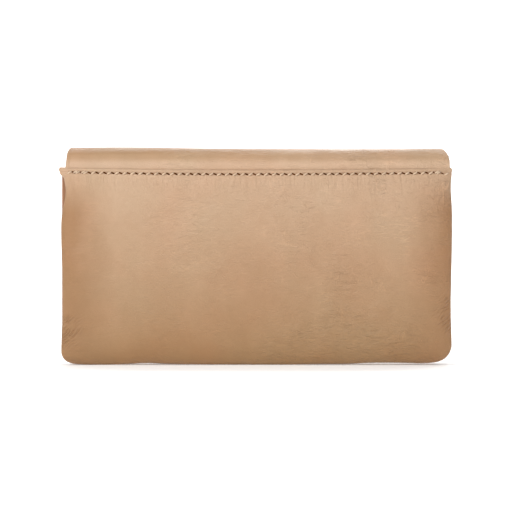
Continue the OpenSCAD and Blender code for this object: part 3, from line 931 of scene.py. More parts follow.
# The roll's section is half a superellipse round (ROLL_MIDDLE_Y, ROLL_Z); it droops near both its ends
ROLL_Z = 96.5
ROLL_MIDDLE_Y = (ROLL_LOW[1] + ROLL_HIGH[1]) / 2
ROLL_POWER = 2.7
ROLL_END_LEFT, ROLL_END_RIGHT = -92.4, 93.9
# How far the roll's top is rounded in at its two ends, each with the height that this takes
ROUND_LEFT, ROUND_RIGHT = (1.6, 2.6), (4.4, 5.6)
FLAP_HALF_LEFT, FLAP_HALF_RIGHT = 93.0, 94.6
FLAP_CORNER = 18.0
# The lining: its distance in from the flap's sides, its cut half width, its lower edge behind the back,
# and the radius of its hole for the socket
LINING_IN = 1.2
LINING_FOOT_Z = 88.6
SOCKET_HOLE = 4.6
# The flap's turned edge: its width and its thickness
HEM_WIDTH, HEM_T = 4.4, 0.55


def roll_half(inset):
    """Half sizes in Y and Z of the roll over the top, at a depth below its outer face."""
    return (ROLL_HIGH[1] - ROLL_LOW[1]) / 2 - inset, ROLL_HIGH[2] - ROLL_Z - inset


def flap_path_back(inset, low_z):
    """Up from low_z behind the back leather and over to the middle of the roll."""
    over = arc(ROLL_MIDDLE_Y, ROLL_Z, *roll_half(inset), 180, 90, ROLL_POWER, 120)
    return Path([[ROLL_LOW[1] + inset, low_z]], over)


def flap_path_front(inset, low_z, low_inset):
    """From the middle of the roll over to the front and down to low_z, where the depth is low_inset."""
    over = arc(ROLL_MIDDLE_Y, ROLL_Z, *roll_half(inset), 90, 0, ROLL_POWER, 120)
    ease = spread(0, 1, 0.05)
    side = np.stack([ROLL_HIGH[1] - inset - (low_inset - inset) * smooth(ease), ROLL_Z - 12 * ease], 1)
    return Path(over, side, [[ROLL_HIGH[1] - low_inset, low_z]])


def roll_top(x):
    """Height lost by the roll's top along the wallet: it falls to the right and droops at both ends."""
    fall = shape().roll_fall / MM
    ends = 1.7 * round_in(ROLL_END_RIGHT - x, 7.0) + 0.9 * round_in(x - ROLL_END_LEFT, 4.0)
    return fall * smooth((x + 92) / 155) - 0.25 * smooth((x - 66) / 20) + ends


def flap_left(z):
    """Half width to the left: the end leans in over the height of the roll."""
    return FLAP_HALF_LEFT + 0.3 * smooth((80 - z) / 40) - 0.9 * smooth((z - EDGE_Z) / 12)


def flap_right(z):
    """Half width to the right: a little less lower down."""
    return FLAP_HALF_RIGHT - 0.9 * smooth((80 - z) / 40)


def cover_swell(x, z):
    """How far the flap's front stands out: a low dome with broad ripples."""
    dome = (1 - (x / HALF_W) ** 4) * np.sin(np.pi * np.clip((z - COVER_LOW[2]) / 84, 0, 1))
    return 0.55 * dome + 0.13 * ripple(x, z, 40, 17, 1.4)


def flap_surface(path, s, across, in_sides=0.0, low_corner=None, soft=1.0):
    """Middle surface of a flap sheet on its path, with its inset from the side edges and lower corners.
    The roll's ends are rounded in at their top. Behind, the sheet flares out over the back's edge as it
    comes down to it; `soft` scales that flare and the swell in front."""
    y0, z0 = (v[:, None] for v in path.at(s))
    ny, nz = (v[:, None] for v in path.left_normal(s))
    c = across[None, :]
    cut = 0.0
    if low_corner is not None:
        low_z, radius = low_corner
        cut = corner_cut(z0 - low_z, radius)
    cut = cut + (1.2 * smooth((EDGE_Z + 0.3 - z0) / 2.5) + 1.4 * smooth((91.5 - z0) / 3)) * (y0 < 0)
    down = ROLL_HIGH[2] - HALF_T - z0
    left = flap_left(z0) - in_sides - cut - ROUND_LEFT[0] * round_in(down, ROUND_LEFT[1])
    right = flap_right(z0) - in_sides - cut - ROUND_RIGHT[0] * round_in(down, ROUND_RIGHT[1])
    x = np.where(c < 0, c * left, c * right)
    inset = np.where(c < 0, left, right) - np.abs(x)
    if low_corner is not None:
        inset = corner_inset(inset + cut, z0 - low_z, radius)
    share = np.clip((z0 - ROLL_Z) / roll_half(HALF_T)[1], 0, 1)
    on_front = smooth((ROLL_Z - z0 + 4) / 14) * (y0 > 0)
    bands = 0.10 * ripple(x, z0 + y0 * 0.6, 9, 31, 9.0) + 0.10 * ripple(x, z0 + y0 * 0.6, 30, 8, 3.0)
    calm = 1 - hump(np.hypot(x, z0 - SNAP_Z), 0, FLAT_ROUND_CAP)
    cover = on_front * cover_swell(x, z0) * calm * soft
    flare = 0.95 * np.exp(-np.abs(z0 - EDGE_Z - 0.9) / 2.4) * (y0 < 0) * smooth((z0 - EDGE_Z + 4) / 3) * soft
    stand = bands * smooth((z0 - EDGE_Z + 2) / 6) + cover + flare
    z = z0 + nz * stand - roll_top(x) * smooth(share * 1.15)
    y = y0 + ny * stand
    return grid(x, y, z), inset, z0


def flap_columns(in_sides=0.0):
    """Grid marks across the flap, as shares of its half width from -1 to 1."""
    return lines(2 * (HALF_W - in_sides), 1.15, HALF_T, 6, 0.5) / (HALF_W - in_sides) - 1


def corner_marks(s, length, radius, first, count, tail):
    """Grid marks s, with those beside a lower corner replaced by `count` marks that close up towards the
    edge; marks less than tail from the edge stay."""
    close = length - radius * (1 - np.cos(np.linspace(first, np.pi / 2, count)))
    return np.unique(np.round(np.concatenate([s[s < close.min()], close, s[s > length - tail]]), 3))


def flap_leather_back():
    """The flap's leather from behind the back's edge to the middle of the roll."""
    path = flap_path_back(HALF_T, BASE_LOW[2])
    s = lines(path.length, 0.85, HALF_T, 1, 0.5, (True, False))
    middle, inset, _ = flap_surface(path, s, flap_columns())
    share = rim(np.minimum(inset, s[:, None]), HALF_T)
    sheet = leaf(middle, (HALF_T + plain_bead(inset)) * share, HALF_T * share, flip=True)
    piece = add_piece("flap_leather_back", [sheet], "outer_leather")
    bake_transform(piece)
    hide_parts("flap_base", "flap_top")


def flap_leather_front():
    """The flap's leather from the middle of the roll to its lower edge, turned and sewn below the roll."""
    path = flap_path_front(HALF_T, COVER_LOW[2], HALF_T)
    s = lines(path.length, 0.95, HALF_T, 5, 0.4, (False, True))
    s = corner_marks(s, path.length, FLAP_CORNER, 0.08, 26, 1.5)
    middle, inset, z0 = flap_surface(path, s, flap_columns(), low_corner=(COVER_LOW[2], FLAP_CORNER))
    share = rim(np.maximum(inset, 0), HALF_T)
    sewn = smooth((94 - z0) / 6)
    relief = hem_relief(inset, 0.9) * sewn + plain_bead(inset) * (1 - sewn)
    turned = HEM_T * smooth((HEM_WIDTH - inset) / 0.8) * smooth((93 - z0) / 4)
    sheet = leaf(middle, (HALF_T + relief) * share, (HALF_T + turned) * share, flip=True)
    piece = add_piece("flap_leather_front", [sheet], "outer_leather")
    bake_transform(piece)
    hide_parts("flap_cover")


def flap_lining_back():
    """The lining from above the back compartment to the middle of the roll."""
    depth = LEATHER_T + LINING_T / 2
    path = flap_path_back(depth, LINING_FOOT_Z)
    s = lines(path.length, 1.1, CLOTH_EDGE, 0, 1, (True, False))
    middle, inset, _ = flap_surface(path, s, flap_columns(LINING_IN), LINING_IN, soft=0.0)
    thick = CLOTH_EDGE * rim(np.minimum(inset, s[:, None]), CLOTH_EDGE)
    piece = add_piece("flap_lining_back", [leaf(middle, thick, thick, flip=True)], "lining")
    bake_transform(piece)
    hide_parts("flap_top_lining")


def flap_lining_front():
    """The lining from the middle of the roll to the flap's lower edge, with the socket's hole."""
    depth = LEATHER_T + LINING_T / 2
    low_z = COVER_LOW[2] + 1.3
    corner = FLAP_CORNER - LINING_IN
    path = flap_path_front(depth, low_z, ROLL_HIGH[1] - (LINING_LOW[1] + LINING_T / 2))
    s = lines(path.length, 1.1, CLOTH_EDGE, 0, 1, (False, True))
    s = corner_marks(s, path.length, FLAP_CORNER - 1, 0.1, 18, 0.31)
    middle, inset, _ = flap_surface(path, s, flap_columns(LINING_IN), LINING_IN, (low_z, corner), 0.0)
    thick = CLOTH_EDGE * rim(np.maximum(inset, 0), CLOTH_EDGE)
    cell = (middle[:-1, :-1] + middle[1:, 1:]) / 2
    keep = (np.hypot(cell[..., 0], cell[..., 2] - SNAP_Z) > SOCKET_HOLE) | (cell[..., 1] < 0)
    piece = add_piece("flap_lining_front", [leaf(middle, thick, thick, keep, flip=True)], "lining")
    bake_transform(piece)
    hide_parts("flap_cover_lining")


def flap_edge_seam():
    """Stitches along the flap's sides, round its corners and along its lower edge."""
    left, right = -flap_left(60) + SEAM_IN, flap_right(60) - SEAM_IN
    low = COVER_LOW[2] + SEAM_IN
    r = FLAP_CORNER - SEAM_IN
    top = corners("flap_edge_thread")[1][2]
    line = Path([[left, top]], arc(left + r, low + r, r, r, 180, 270),
                arc(right - r, low + r, r, r, 270, 360), [[right, top]])
    count = int(line.length / STITCH_PITCH)
    s = (np.arange(2 * count - 1) / 2 + 0.5) * line.length / count
    x, z = line.at(s)
    places = grid(x, COVER_HIGH[1] - 0.05 + cover_swell(x, z), z)
    stitch_row("flap_edge_stitches", places[::2], 9, "flap_front", "flap_edge_thread", 2.35, 0.66, (0, 1, 0))
    hole_shade_row("flap_edge_hole_shade", places[1::2], 30, "flap_front", (0, 1, 0))


# ---------------------------------------------------------------- upright panels inside and in front


def panel_grid(low, high, step, edge, low_corner, top_corner, fine=3.0):
    """Grid of an upright panel between two corners: X, Z, the distance in from its outline, whose corners
    are round, and the distance down from its top edge."""
    half = (high[0] - low[0]) / 2
    height = high[2] - low[2]
    rise = lines(height, step, edge, max(fine, low_corner, top_corner), 0.6)[:, None]
    across = lines(2 * half, step, edge, fine, 0.6)[None, :] / half - 1
    down = height - rise
    cut = low_corner * round_in(rise, low_corner) + top_corner * round_in(down, top_corner)
    x = (half - cut) * across
    radius = np.where(rise < down, low_corner, top_corner)
    inset = corner_inset(half - np.abs(x), np.minimum(rise, down), radius)
    return x, low[2] + rise + 0 * across, np.maximum(inset, 0), down + 0 * across


def front_leather():
    """The front panel: sides curve in, the top edge is turned, and the bottom edge meets the back leather."""
    x, z, inset, down = panel_grid(FRONT_LOW, FRONT_HIGH, 1.3, HALF_T, 1.0, 6.0, 6)
    side = HALF_W - np.abs(x)
    calm = 1 - hump(np.hypot(x, z - SNAP_Z), 0, FLAT_ROUND_STUD)
    y = ((FRONT_LOW[1] + FRONT_HIGH[1]) / 2 - 2.0 * round_in(side, 6.0)
         + 0.12 * calm * ripple(x, z, 38, 41, 1.3) * smooth(side / 10) - 0.12)
    share = rim(inset, HALF_T)
    relief = 0.25 * hump(down, 0.9, 0.6) - 0.2 * hump(down, 2.2, 0.4)
    sheet = leaf(grid(x, y, z), (HALF_T + relief) * share, HALF_T * share, flip=True)
    piece = add_piece("front_leather", [sheet], "outer_leather", "front_half")
    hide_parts("front_panel")


def lining_panel(name, node, body):
    """A woven lining laid flat on a wall, with its edge turned in."""
    low, high = corners(node)
    x, z, inset, _ = panel_grid(low, high, 2.2, CLOTH_EDGE, 2.0, 2.0)
    y = (low[1] + high[1]) / 2 + 0.05 * ripple(x, z, 30, 51, 1.2)
    thick = CLOTH_HALF_T * rim(inset, CLOTH_EDGE)
    piece = add_piece(name, [leaf(grid(x, y, z), thick, thick)], "lining", body)
    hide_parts(node)


def floor_lining():
    """The lining across the bottom, dished a little between the walls; both ends are tucked down behind
    the leather and narrow towards the bottom."""
    low, high = corners("floor_lining")
    end = high[0] - 2.2
    top = (low[2] + high[2]) / 2
    foot = LEATHER_T + 2.0
    line = Path(soften([[-end, foot], [-end, top], [end, top], [end, foot]], 1.6))
    s = lines(line.length, 2.5, CLOTH_EDGE, 7, 0.5)[None, :]
    x, z = line.at(s)
    down = top - z
    back_gap, front_gap = 1.6, 1.2
    back, front = low[1] + back_gap + 0.5 * down, high[1] - front_gap - 0.35 * down
    share = lines(1.0, 0.05, 0.015)[:, None]
    y = back + share * (front - back)
    inset = np.minimum(np.minimum(share, 1 - share) * (front - back), np.minimum(s, line.length - s))
    z = z - 0.1 * np.sin(np.pi * share)
    thick = CLOTH_HALF_T * rim(np.maximum(inset, 0), CLOTH_EDGE)
    piece = add_piece("floor_lining_cloth", [leaf(grid(x, y, z), thick, thick)], "lining", "back_half")
    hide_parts("floor_lining")


def padding():
    """The foam behind the back leather, crowned in its middle and thinned towards its edges."""
    low, high = corners("back_padding")
    side_gap, foot_gap, top_gap = 1.5, 9, 0.8
    low = low + [side_gap, 0, foot_gap]
    high = high - [side_gap, 0, top_gap]
    x, z, inset, _ = panel_grid(low, high, 2.5, FOAM_EDGE, 4.0, 4.0)
    half = 0.25 + 0.3 * smooth(inset / 14)
    y = high[1] - 0.08 - half
    thick = half * rim(inset, FOAM_EDGE)
    piece = add_piece("back_foam_pad", [leaf(grid(x, y, z), thick, thick)], "foam", "back_half")
    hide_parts("back_padding")


def card_pocket(name, node, facing, body, seamed):
    """A card pocket in two columns: each mouth bows out and dips between the seams, its edge is turned
    and creased, a card's outline shows faintly, and a sewn pocket has a groove up its middle."""
    low, high = corners(node)
    x, z, inset, down = panel_grid(low, high, 1.7, CARD_EDGE, 2.0, 1.0)
    column = np.sin(np.pi * np.clip((np.abs(x) - 1.5) / (high[0] - 4), 0, 1))
    mouth = np.exp(-((down / 11) ** 2))
    y = (low[1] + high[1]) / 2 - facing * 0.04 + facing * 0.34 * column ** 0.8 * mouth
    z = z - 0.9 * column * np.exp(-down / 6)
    edge = 0.10 * hump(down, 0.8, 0.5) - 0.16 * hump(down, 2.2, 0.35)
    spine = -0.14 * hump(x, 0, 0.7) if seamed else 0.0
    ghost = 0.05 * smooth((column - 0.35) / 0.2) * smooth((down - 4) / 3)
    share = rim(inset, CARD_EDGE)
    outer = (CARD_HALF_T + edge + spine + ghost) * share
    sheet = leaf(grid(x, y, z), outer, CARD_HALF_T * share, flip=facing > 0)
    piece = add_piece(name, [sheet], "inner_leather", body)
    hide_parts(node)


def card_seam(name, node, facing, body):
    """Stitches up the middle of the card pockets."""
    low, high = corners(node)
    z = np.arange(low[2] + 1.4, high[2] - 1, STITCH_PITCH)
    y = (low[1] if facing < 0 else high[1]) - facing * 0.12
    stitch_row(name, grid(0 * z, y, z), 10, body, node, 2.6, 0.5, (0, facing, 0))


# ---------------------------------------------------------------- gussets


# Where a gusset leaves the wall and turns in to its fold
FLANGE_X = 91.2


def gusset(name, side, wall_y, far_y, flange_x, far_x, top, far_top, bodies, nodes):
    """One side gusset, seen from above: a flange on the wall at the wallet's side, in to the fold, and out
    again to the next section. Its top edge dips at the fold."""
    fold_x, _, low = corners("gusset_right_back")[0] + [0.2, 0, 0]
    toward = np.sign(far_y - wall_y)
    line = Path(soften([[flange_x, wall_y - 0.25 * toward], [FLANGE_X, wall_y + 0.45 * toward],
                        [fold_x, (wall_y + far_y) / 2], [far_x - 1.0, far_y - 0.45 * toward],
                        [far_x, far_y - 0.4 * toward]], 1.6))
    s = lines(line.length, 0.5, GUSSET_HALF_T)
    px, py = line.at(s)
    share = s / line.length
    crest = top + (far_top - top) * smooth((share - 0.1) / 0.8) - 3.4 * hump(px, fold_x, 4.0)
    rise = lines(1.0, 0.02, 0.004)[:, None]
    z = low + rise * (crest - low)[None, :]
    wave = 0.22 * ripple(s[None, :], z, 16, 61, 0.7) * np.sin(np.pi * share)[None, :]
    nx, ny = line.left_normal(s)
    x = px[None, :] + nx * wave
    y = py[None, :] + ny * wave
    inset = np.minimum(np.minimum(s, line.length - s)[None, :], np.minimum(z - low, crest[None, :] - z))
    thick = GUSSET_HALF_T * rim(np.maximum(inset, 0), GUSSET_HALF_T)
    piece = add_piece(name, [leaf(grid(side * x, y, z), thick, thick)], "gusset_leather")
    wall_y * MM
    far_y * MM
    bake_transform(piece)
    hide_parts(*nodes)


def gussets():
    """Two folded gussets at each end: from the back to the coin section, and from the front to it."""
    back_wall = corners("back_card_pocket_lower")[1][1]
    coin_back = corners("coin_pocket_back")[0][1]
    coin_front = corners("coin_pocket_front")[1][1]
    front_wall = corners("front_card_pocket_lower")[0][1]
    coin_x = corners("coin_pocket_back")[1][0] - 0.3
    top = corners("gusset_right_back")[1][2]
    coin_top = corners("gusset_right_middle")[1][2] - 0.5
    back_rise = 5.2
    for side, word in ((-1, "left"), (1, "right")):
        gusset(f"gusset_{word}_rear_fold", side, back_wall, coin_back, HALF_W - 0.1, coin_x, top + back_rise,
               coin_top, ("back_half", "coin_section"), [f"gusset_{word}_back", f"gusset_{word}_middle"])
        gusset(f"gusset_{word}_fore_fold", side, front_wall, coin_front, HALF_W - 1.2, coin_x, top,
               coin_top, ("front_half", "coin_section"), [f"gusset_{word}_front"])


# ---------------------------------------------------------------- coin pocket and zip


CHAIN_LOW, CHAIN_HIGH = corners("zip_teeth_back")
CHAIN_Z = (CHAIN_LOW[2] + CHAIN_HIGH[2]) / 2
CHAIN_Y = (CHAIN_LOW[1] + corners("zip_teeth_front")[1][1]) / 2
CHAIN_HALF = CHAIN_Y - CHAIN_LOW[1]
TOOTH_PITCH = 2.0


def coin_wall(name, node, facing):
    """A wall of the coin pocket: lightly filled, puckered under the zip and turned at its top edge."""
    low, high = corners(node)
    x, z, inset, down = panel_grid(low, high, 1.5, COIN_EDGE, 4.0, 3.0)
    fill = 0.16 * np.sin(np.pi * np.clip(inset / 37, 0, 1)) + 0.06 * ripple(x, z, 26, 71 + facing, 1.2)
    pucker = 0.05 * np.cos(x * 2 * np.pi / 9.5) * np.exp(-((down - 5) / 4) ** 2)
    y = (low[1] + high[1]) / 2 + facing * (fill + pucker) * smooth(inset / 5) - facing * 0.06
    groove = -0.2 * hump(down, SEAM_IN, 0.45) + 0.08 * hump(down, 0.9, 0.6)
    share = rim(inset, COIN_EDGE)
    sheet = leaf(grid(x, y, z), (COIN_HALF_T + groove) * share, COIN_HALF_T * share, flip=facing > 0)
    piece = add_piece(name, [sheet], "inner_leather", "coin_section")
    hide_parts(node)


def zip_seam():
    """Stitches and awl holes in turn under the pocket's front edge."""
    low, high = corners("zip_seam_thread")
    x = np.arange(low[0] + 1.35, high[0] - 1.3, STITCH_PITCH / 2)
    places = grid(x, high[1] - 0.12, (low[2] + high[2]) / 2)
    stitch_row("zip_seam_stitches", places[::2], -10, "coin_section", "zip_seam_thread", 2.5, 0.52, (0, 1, 0))
    hole_shade_row("zip_seam_hole_shade", places[1::2], 25, "coin_section", (0, 1, 0), 1.5, 0.6)


def zip_tape_half(name, node, side):
    """One tape: up the inside of the pocket's wall, round a soft bend and in to its row of teeth."""
    low, high = corners(node)
    thick = 0.24
    wall = (low[1] if side < 0 else high[1]) - side * (thick + 0.02)
    inner = CHAIN_Y + side * (CHAIN_HALF - 0.35)
    line = Path(soften([[wall, low[2]], [wall, CHAIN_Z - 0.1], [wall - side * 0.4, CHAIN_Z],
                        [inner, CHAIN_Z]], 1.4))
    s = lines(line.length, 0.45, thick)[:, None]
    py, pz = line.at(s)
    across = lines(high[0] - low[0], 1.6, thick)[None, :] + low[0]
    inset = np.minimum(np.minimum(s, line.length - s), high[0] - np.abs(across))
    half = thick * rim(np.maximum(inset, 0), thick)
    sheet = leaf(grid(across, py, pz), half, half, flip=side < 0)
    piece = add_piece(name, [sheet], "zip_tape", "coin_section")
    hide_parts(node)


def tooth_shape():
    """A tooth seen from above: a narrow neck on the tape and a wider round head past the middle, with
    rounded upper and lower faces."""
    t = np.array([0.0, 0.12, 0.45, 0.62, 0.8, 0.94, 1.0])
    half = np.array([0.50, 0.52, 0.30, 0.42, 0.50, 0.36, 0.12])
    reach = CHAIN_HALF + 0.30
    high = (CHAIN_HIGH[2] - CHAIN_LOW[2]) / 2 * np.array([0.98, 1.0, 0.86, 1.0, 1.0, 0.86, 0.5])
    return tube(grid(0, t * reach, 0), half, high, 8, 3.2)


def zip_teeth_row(name, node, side, shift):
    """One row of teeth on its bead; `shift` moves it by half a tooth, so that the rows mesh."""
    low, high = corners(node)
    count = int((high[0] - low[0]) / TOOTH_PITCH)
    x = low[0] + TOOTH_PITCH * (np.arange(count) + shift) + TOOTH_PITCH / 4
    places = grid(x, CHAIN_Y + side * CHAIN_HALF, CHAIN_Z)
    along = np.tile([-side, 0.0, 0.0], (count, 1))
    out = np.tile([0.0, -side, 0.0], (count, 1))
    teeth = repeat(*tooth_shape(), places, along, out)
    run = spread(low[0], high[0], 4)
    cord = tube(grid(run, CHAIN_Y + side * (CHAIN_HALF + 0.05), CHAIN_Z), 0.36, 0.5, 10)
    piece = add_piece(name, [teeth, cord], "zip_metal", "coin_section")
    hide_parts(node)


def zip_stop(name, node):
    """A pressed stop: a block with well rounded edges that grips both tapes."""
    low, high = corners(node)
    middle = (low + high) / 2
    half = (high - low) / 2
    t = np.array([-1, -0.94, -0.75, -0.3, 0.3, 0.75, 0.94, 1])
    swell = np.array([0.72, 0.9, 1, 0.95, 0.95, 1, 0.9, 0.72])
    block = tube(middle + grid(t * half[0], 0, 0), half[1] * swell, half[2] * 1.12 * swell, 20, 3.5)
    piece = add_piece(name, [block], "zip_metal", "coin_section")
    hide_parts(node)


def plate(x0, x1, half_at, z_low, z_high, centre_y, edge, crown=0.0, step=0.3):
    """A metal plate from x0 to x1, half_at(t) wide each way at the share t of its length, with a half-round
    edge and a crowned top."""
    t = lines(1.0, step / (x1 - x0), edge / (x1 - x0))[:, None]
    c = lines(2.0, 0.12, 0.12)[None, :] - 1
    half = half_at(t)
    x = x0 + t * (x1 - x0) + 0 * c
    y = centre_y + c * half
    inset = np.minimum(np.minimum(t, 1 - t) * (x1 - x0), (1 - np.abs(c)) * half)
    thick = (z_high - z_low) / 2
    share = rim(np.maximum(inset, 0), edge)
    top = thick + crown * smooth(inset / 1.2)
    return leaf(grid(x, y, (z_low + z_high) / 2), top * share, thick * share)


def zip_slider():
    """A slider with a shield-shaped upper plate, a narrower lower plate, the web between them and an
    arched bail for the pull."""
    low, high = corners("zip_slider")
    y = (low[1] + high[1]) / 2
    half_y = (high[1] - low[1]) / 2
    plate_low = CHAIN_HIGH[2] + 0.15
    plate_t = 0.7

    def shield(t):
        return half_y * (0.62 + 0.38 * smooth((t - 0.15) / 0.5)) * np.sqrt(
            np.clip(1 - 0.55 * np.abs(2 * t - 1) ** 6, 0.05, 1))

    upper = plate(low[0], high[0], shield, plate_low, plate_low + plate_t, y, 0.3, 0.12)
    lower = plate(low[0] + 0.5, high[0] - 0.5, lambda t: 0.46 * shield(t), low[2], low[2] + plate_t, y, 0.3)
    rise = spread(low[2] + 0.3, plate_low + 0.3, 0.3)
    middle_x = (low[0] + high[0]) / 2
    web = tube(grid(high[0] - 1.9, y, rise), 0.13, 0.9, 12)
    reach = 2.5
    bend = np.linspace(0, np.pi, 25)
    top = high[2] - 0.28
    base = plate_low + 0.55
    bow = grid(middle_x - reach * np.sign(np.cos(bend)) * np.abs(np.cos(bend)) ** 0.62, y,
               base + (top - base) * np.sin(bend) ** 0.62)
    bail = tube(bow, 0.68, 0.27, 14, 3.0)
    piece = add_piece("zip_slider_body", [upper, lower, web, bail], "zip_metal", "zip_slider")
    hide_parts("zip_slider")


def zip_pull():
    """A wire loop through the bail and a crowned tab with a round end and a raised border."""
    low, high = corners("zip_pull")
    y = (low[1] + high[1]) / 2
    z = (low[2] + high[2]) / 2
    half_y = (high[1] - low[1]) / 2
    ring_half, wire = 2.75, 0.42
    ring_x = high[0] - 0.45 - ring_half
    ring = arc(ring_x, y, ring_half, half_y - 0.5, 0, 360, 3.2, 49)[:-1]
    loop = tube(grid(ring[:, 0], ring[:, 1], z), wire, wire, 12, loop=True)
    tab_x1 = ring_x - 1.9

    def outline(t):
        nose = np.sqrt(np.clip(1 - np.clip(1 - t * (tab_x1 - low[0]) / half_y, 0, 1) ** 2, 0.02, 1))
        return half_y * nose * (1 - 0.16 * smooth((t - 0.5) / 0.5))

    tab = plate(low[0], tab_x1, outline, z - 0.42, z + 0.36, y, 0.3, -0.12, 0.22)
    piece = add_piece("zip_pull_tab", [loop, tab], "zip_metal", "zip_pull")
    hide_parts("zip_pull")


# ---------------------------------------------------------------- press stud


def stud_cap():
    """The cap: a low dome with a rolled edge and a turned line near its rim."""
    r, top = CAP_HIGH[:2]
    base = COVER_HIGH[1] - 0.15
    foot = [[r - 0.1 + 0.1 * np.sin(a), base + 0.35 - 0.35 * np.cos(a)] for a in np.linspace(0, np.pi / 2, 4)]
    roll = [[r - 0.04, base + 0.6], [r - 0.22, base + 0.82], [r - 0.5, base + 0.86], [r - 0.68, base + 0.74]]
    dome = [[q, top - 0.45 * (q / r) ** 2] for q in np.linspace(r - 0.9, 0, 16)]
    profile = [[0, base], [r - 0.35, base]] + foot + roll + dome
    piece = add_piece("stud_cap", [lathe(profile, (0, 0, SNAP_Z))], "press_stud", "flap_front", 40)
    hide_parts("snap_cap")


def stud_socket():
    """The socket in the lining: a flange with a rolled lip round a bore with its spring ring."""
    low, high = corners("snap_socket")
    face = low[1] - 0.22
    profile = [[3.45, high[1]], [6.4, high[1]], [6.55, face + 0.42], [6.5, face + 0.2], [6.2, face + 0.04],
               [5.7, face], [5.1, face + 0.12], [4.6, face + 0.16], [4.2, face + 0.02], [3.85, face - 0.02],
               [3.55, face + 0.1], [3.45, face + 0.35], [3.3, face + 0.55], [3.28, face + 0.75],
               [3.45, face + 0.95], [3.45, high[1]]]
    bed = [[0, high[1] - 0.1], [3.5, high[1] - 0.1], [3.5, high[1] + 0.02], [0, high[1] + 0.02]]
    centre = (0, 0, SNAP_Z)
    parts = [lathe(profile[::-1], centre), lathe(bed[::-1], centre)]
    piece = add_piece("stud_socket", parts, "press_stud", "flap_front", 40)
    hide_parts("snap_socket")


def stud_post():
    """The stud on the front: a rolled flange, a neck and a round head."""
    r, top = corners("snap_stud")[1][:2]
    face = FRONT_HIGH[1] - 0.16
    flange = [[0, face], [r - 0.2, face], [r, face + 0.14], [r - 0.02, face + 0.34], [r - 0.35, face + 0.46],
              [r - 0.9, face + 0.40]]
    neck = [[2.5, face + 0.42], [2.25, face + 0.6], [2.2, top - 0.75]]
    head = [[2.45, top - 0.62], [2.85, top - 0.52], [3.0, top - 0.34], [2.9, top - 0.14],
            [2.55, top - 0.03], [2.0, top], [1.0, top], [0.8, top - 0.12], [0, top - 0.16]]
    solid = lathe(flange + neck + head, (0, 0, SNAP_Z))
    piece = add_piece("stud_post", [solid], "press_stud", "front_half", 40)
    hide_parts("snap_stud")


# ---------------------------------------------------------------- nodes kept from the frame


# Frame nodes that show as they are, each with its material
KEPT = {"flap_stiffener": "board", "snap_post": "press_stud", "coin_pocket_strip": "lining"}


def finish_kept_nodes():
    """Gives the frame nodes whose plain shape is right their node materials."""
    for name, material in KEPT.items():
        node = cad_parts[name]
        for slot in node.material_slots:
            slot.material = finish(material)


# ---------------------------------------------------------------- stage


CAMERA_LENS = 180.0
CAMERA_SENSOR = 36.0
FRAME_WIDTH = 0.2494
WORLD_COLOUR, WORLD_STRENGTH = (1.0, 0.99, 0.98, 1), 0.42
# Each light's name, place, target, width, watts and colour
LIGHTS = (
    ("key", (-0.34, -0.68, 0.62), (0, 0, 0.05), 0.40, 4.7, (1.0, 0.985, 0.965)),
    ("fill", (1.3, -1.0, 0.5), (0, 0, 0.05), 1.2, 1.5, (0.97, 0.98, 1.0)),
    ("front", (0.35, 1.0, 0.8), (0, 0, 0.05), 0.9, 4.0, (1, 1, 1)),
    ("backdrop", (0, 1.3, 1.9), (0, 2.3, 0.5), 1.6, 40, (1, 1, 1)),
)


def stage_surface():
    """One pale sweep: a flat floor, a quarter-round and a wall, carried straight across."""
    near, far, turn, top, side = -2600, 1400, 900, 3200, 3200
    profile = Path([[near, 0], [far, 0]], arc(far, turn, turn, turn, 270, 360), [[far + turn, top]])
    y, z = (v[:, None] for v in profile.at(lines(profile.length, 120)))
    points = grid(np.linspace(-side, side, 9), y, z)
    return points.reshape(-1, 3), grid_quads(np.arange(points[..., 0].size).reshape(points.shape[:2]))


def stage_finish():
    """Matt off-white paint with a very faint mottle."""
    f = Finish("stage_paint")
    cloud = f.noise(f.place(), 400, 2)
    base = f.mix((0.93, 0.93, 0.93, 1), (0.90, 0.90, 0.90, 1), cloud)
    return f.shade(base_color=base, roughness=0.9, emission_color=(1, 1, 1, 1), emission_strength=0.22,
                   specular_ior_level=0.1)


def area_light(name, place, target, size, watts, colour):
    """A square soft light at place, aimed at target."""
    data = bpy.data.lights.new(name, "AREA")
    data.shape = "SQUARE"
    data.size = size
    data.energy = watts
    data.color = colour
    lamp = bpy.data.objects.new(name, data)
    bpy.context.scene.collection.objects.link(lamp)
    lamp.location = place
    lamp.rotation_euler = direction(np.array(target) - np.array(place))


def direction(aim):
    """Turns an object's -Z axis along aim, keeping its X axis level."""
    aim = aim / np.linalg.norm(aim)
    return (math.acos(-aim[2]), 0, math.atan2(-aim[0], aim[1]))


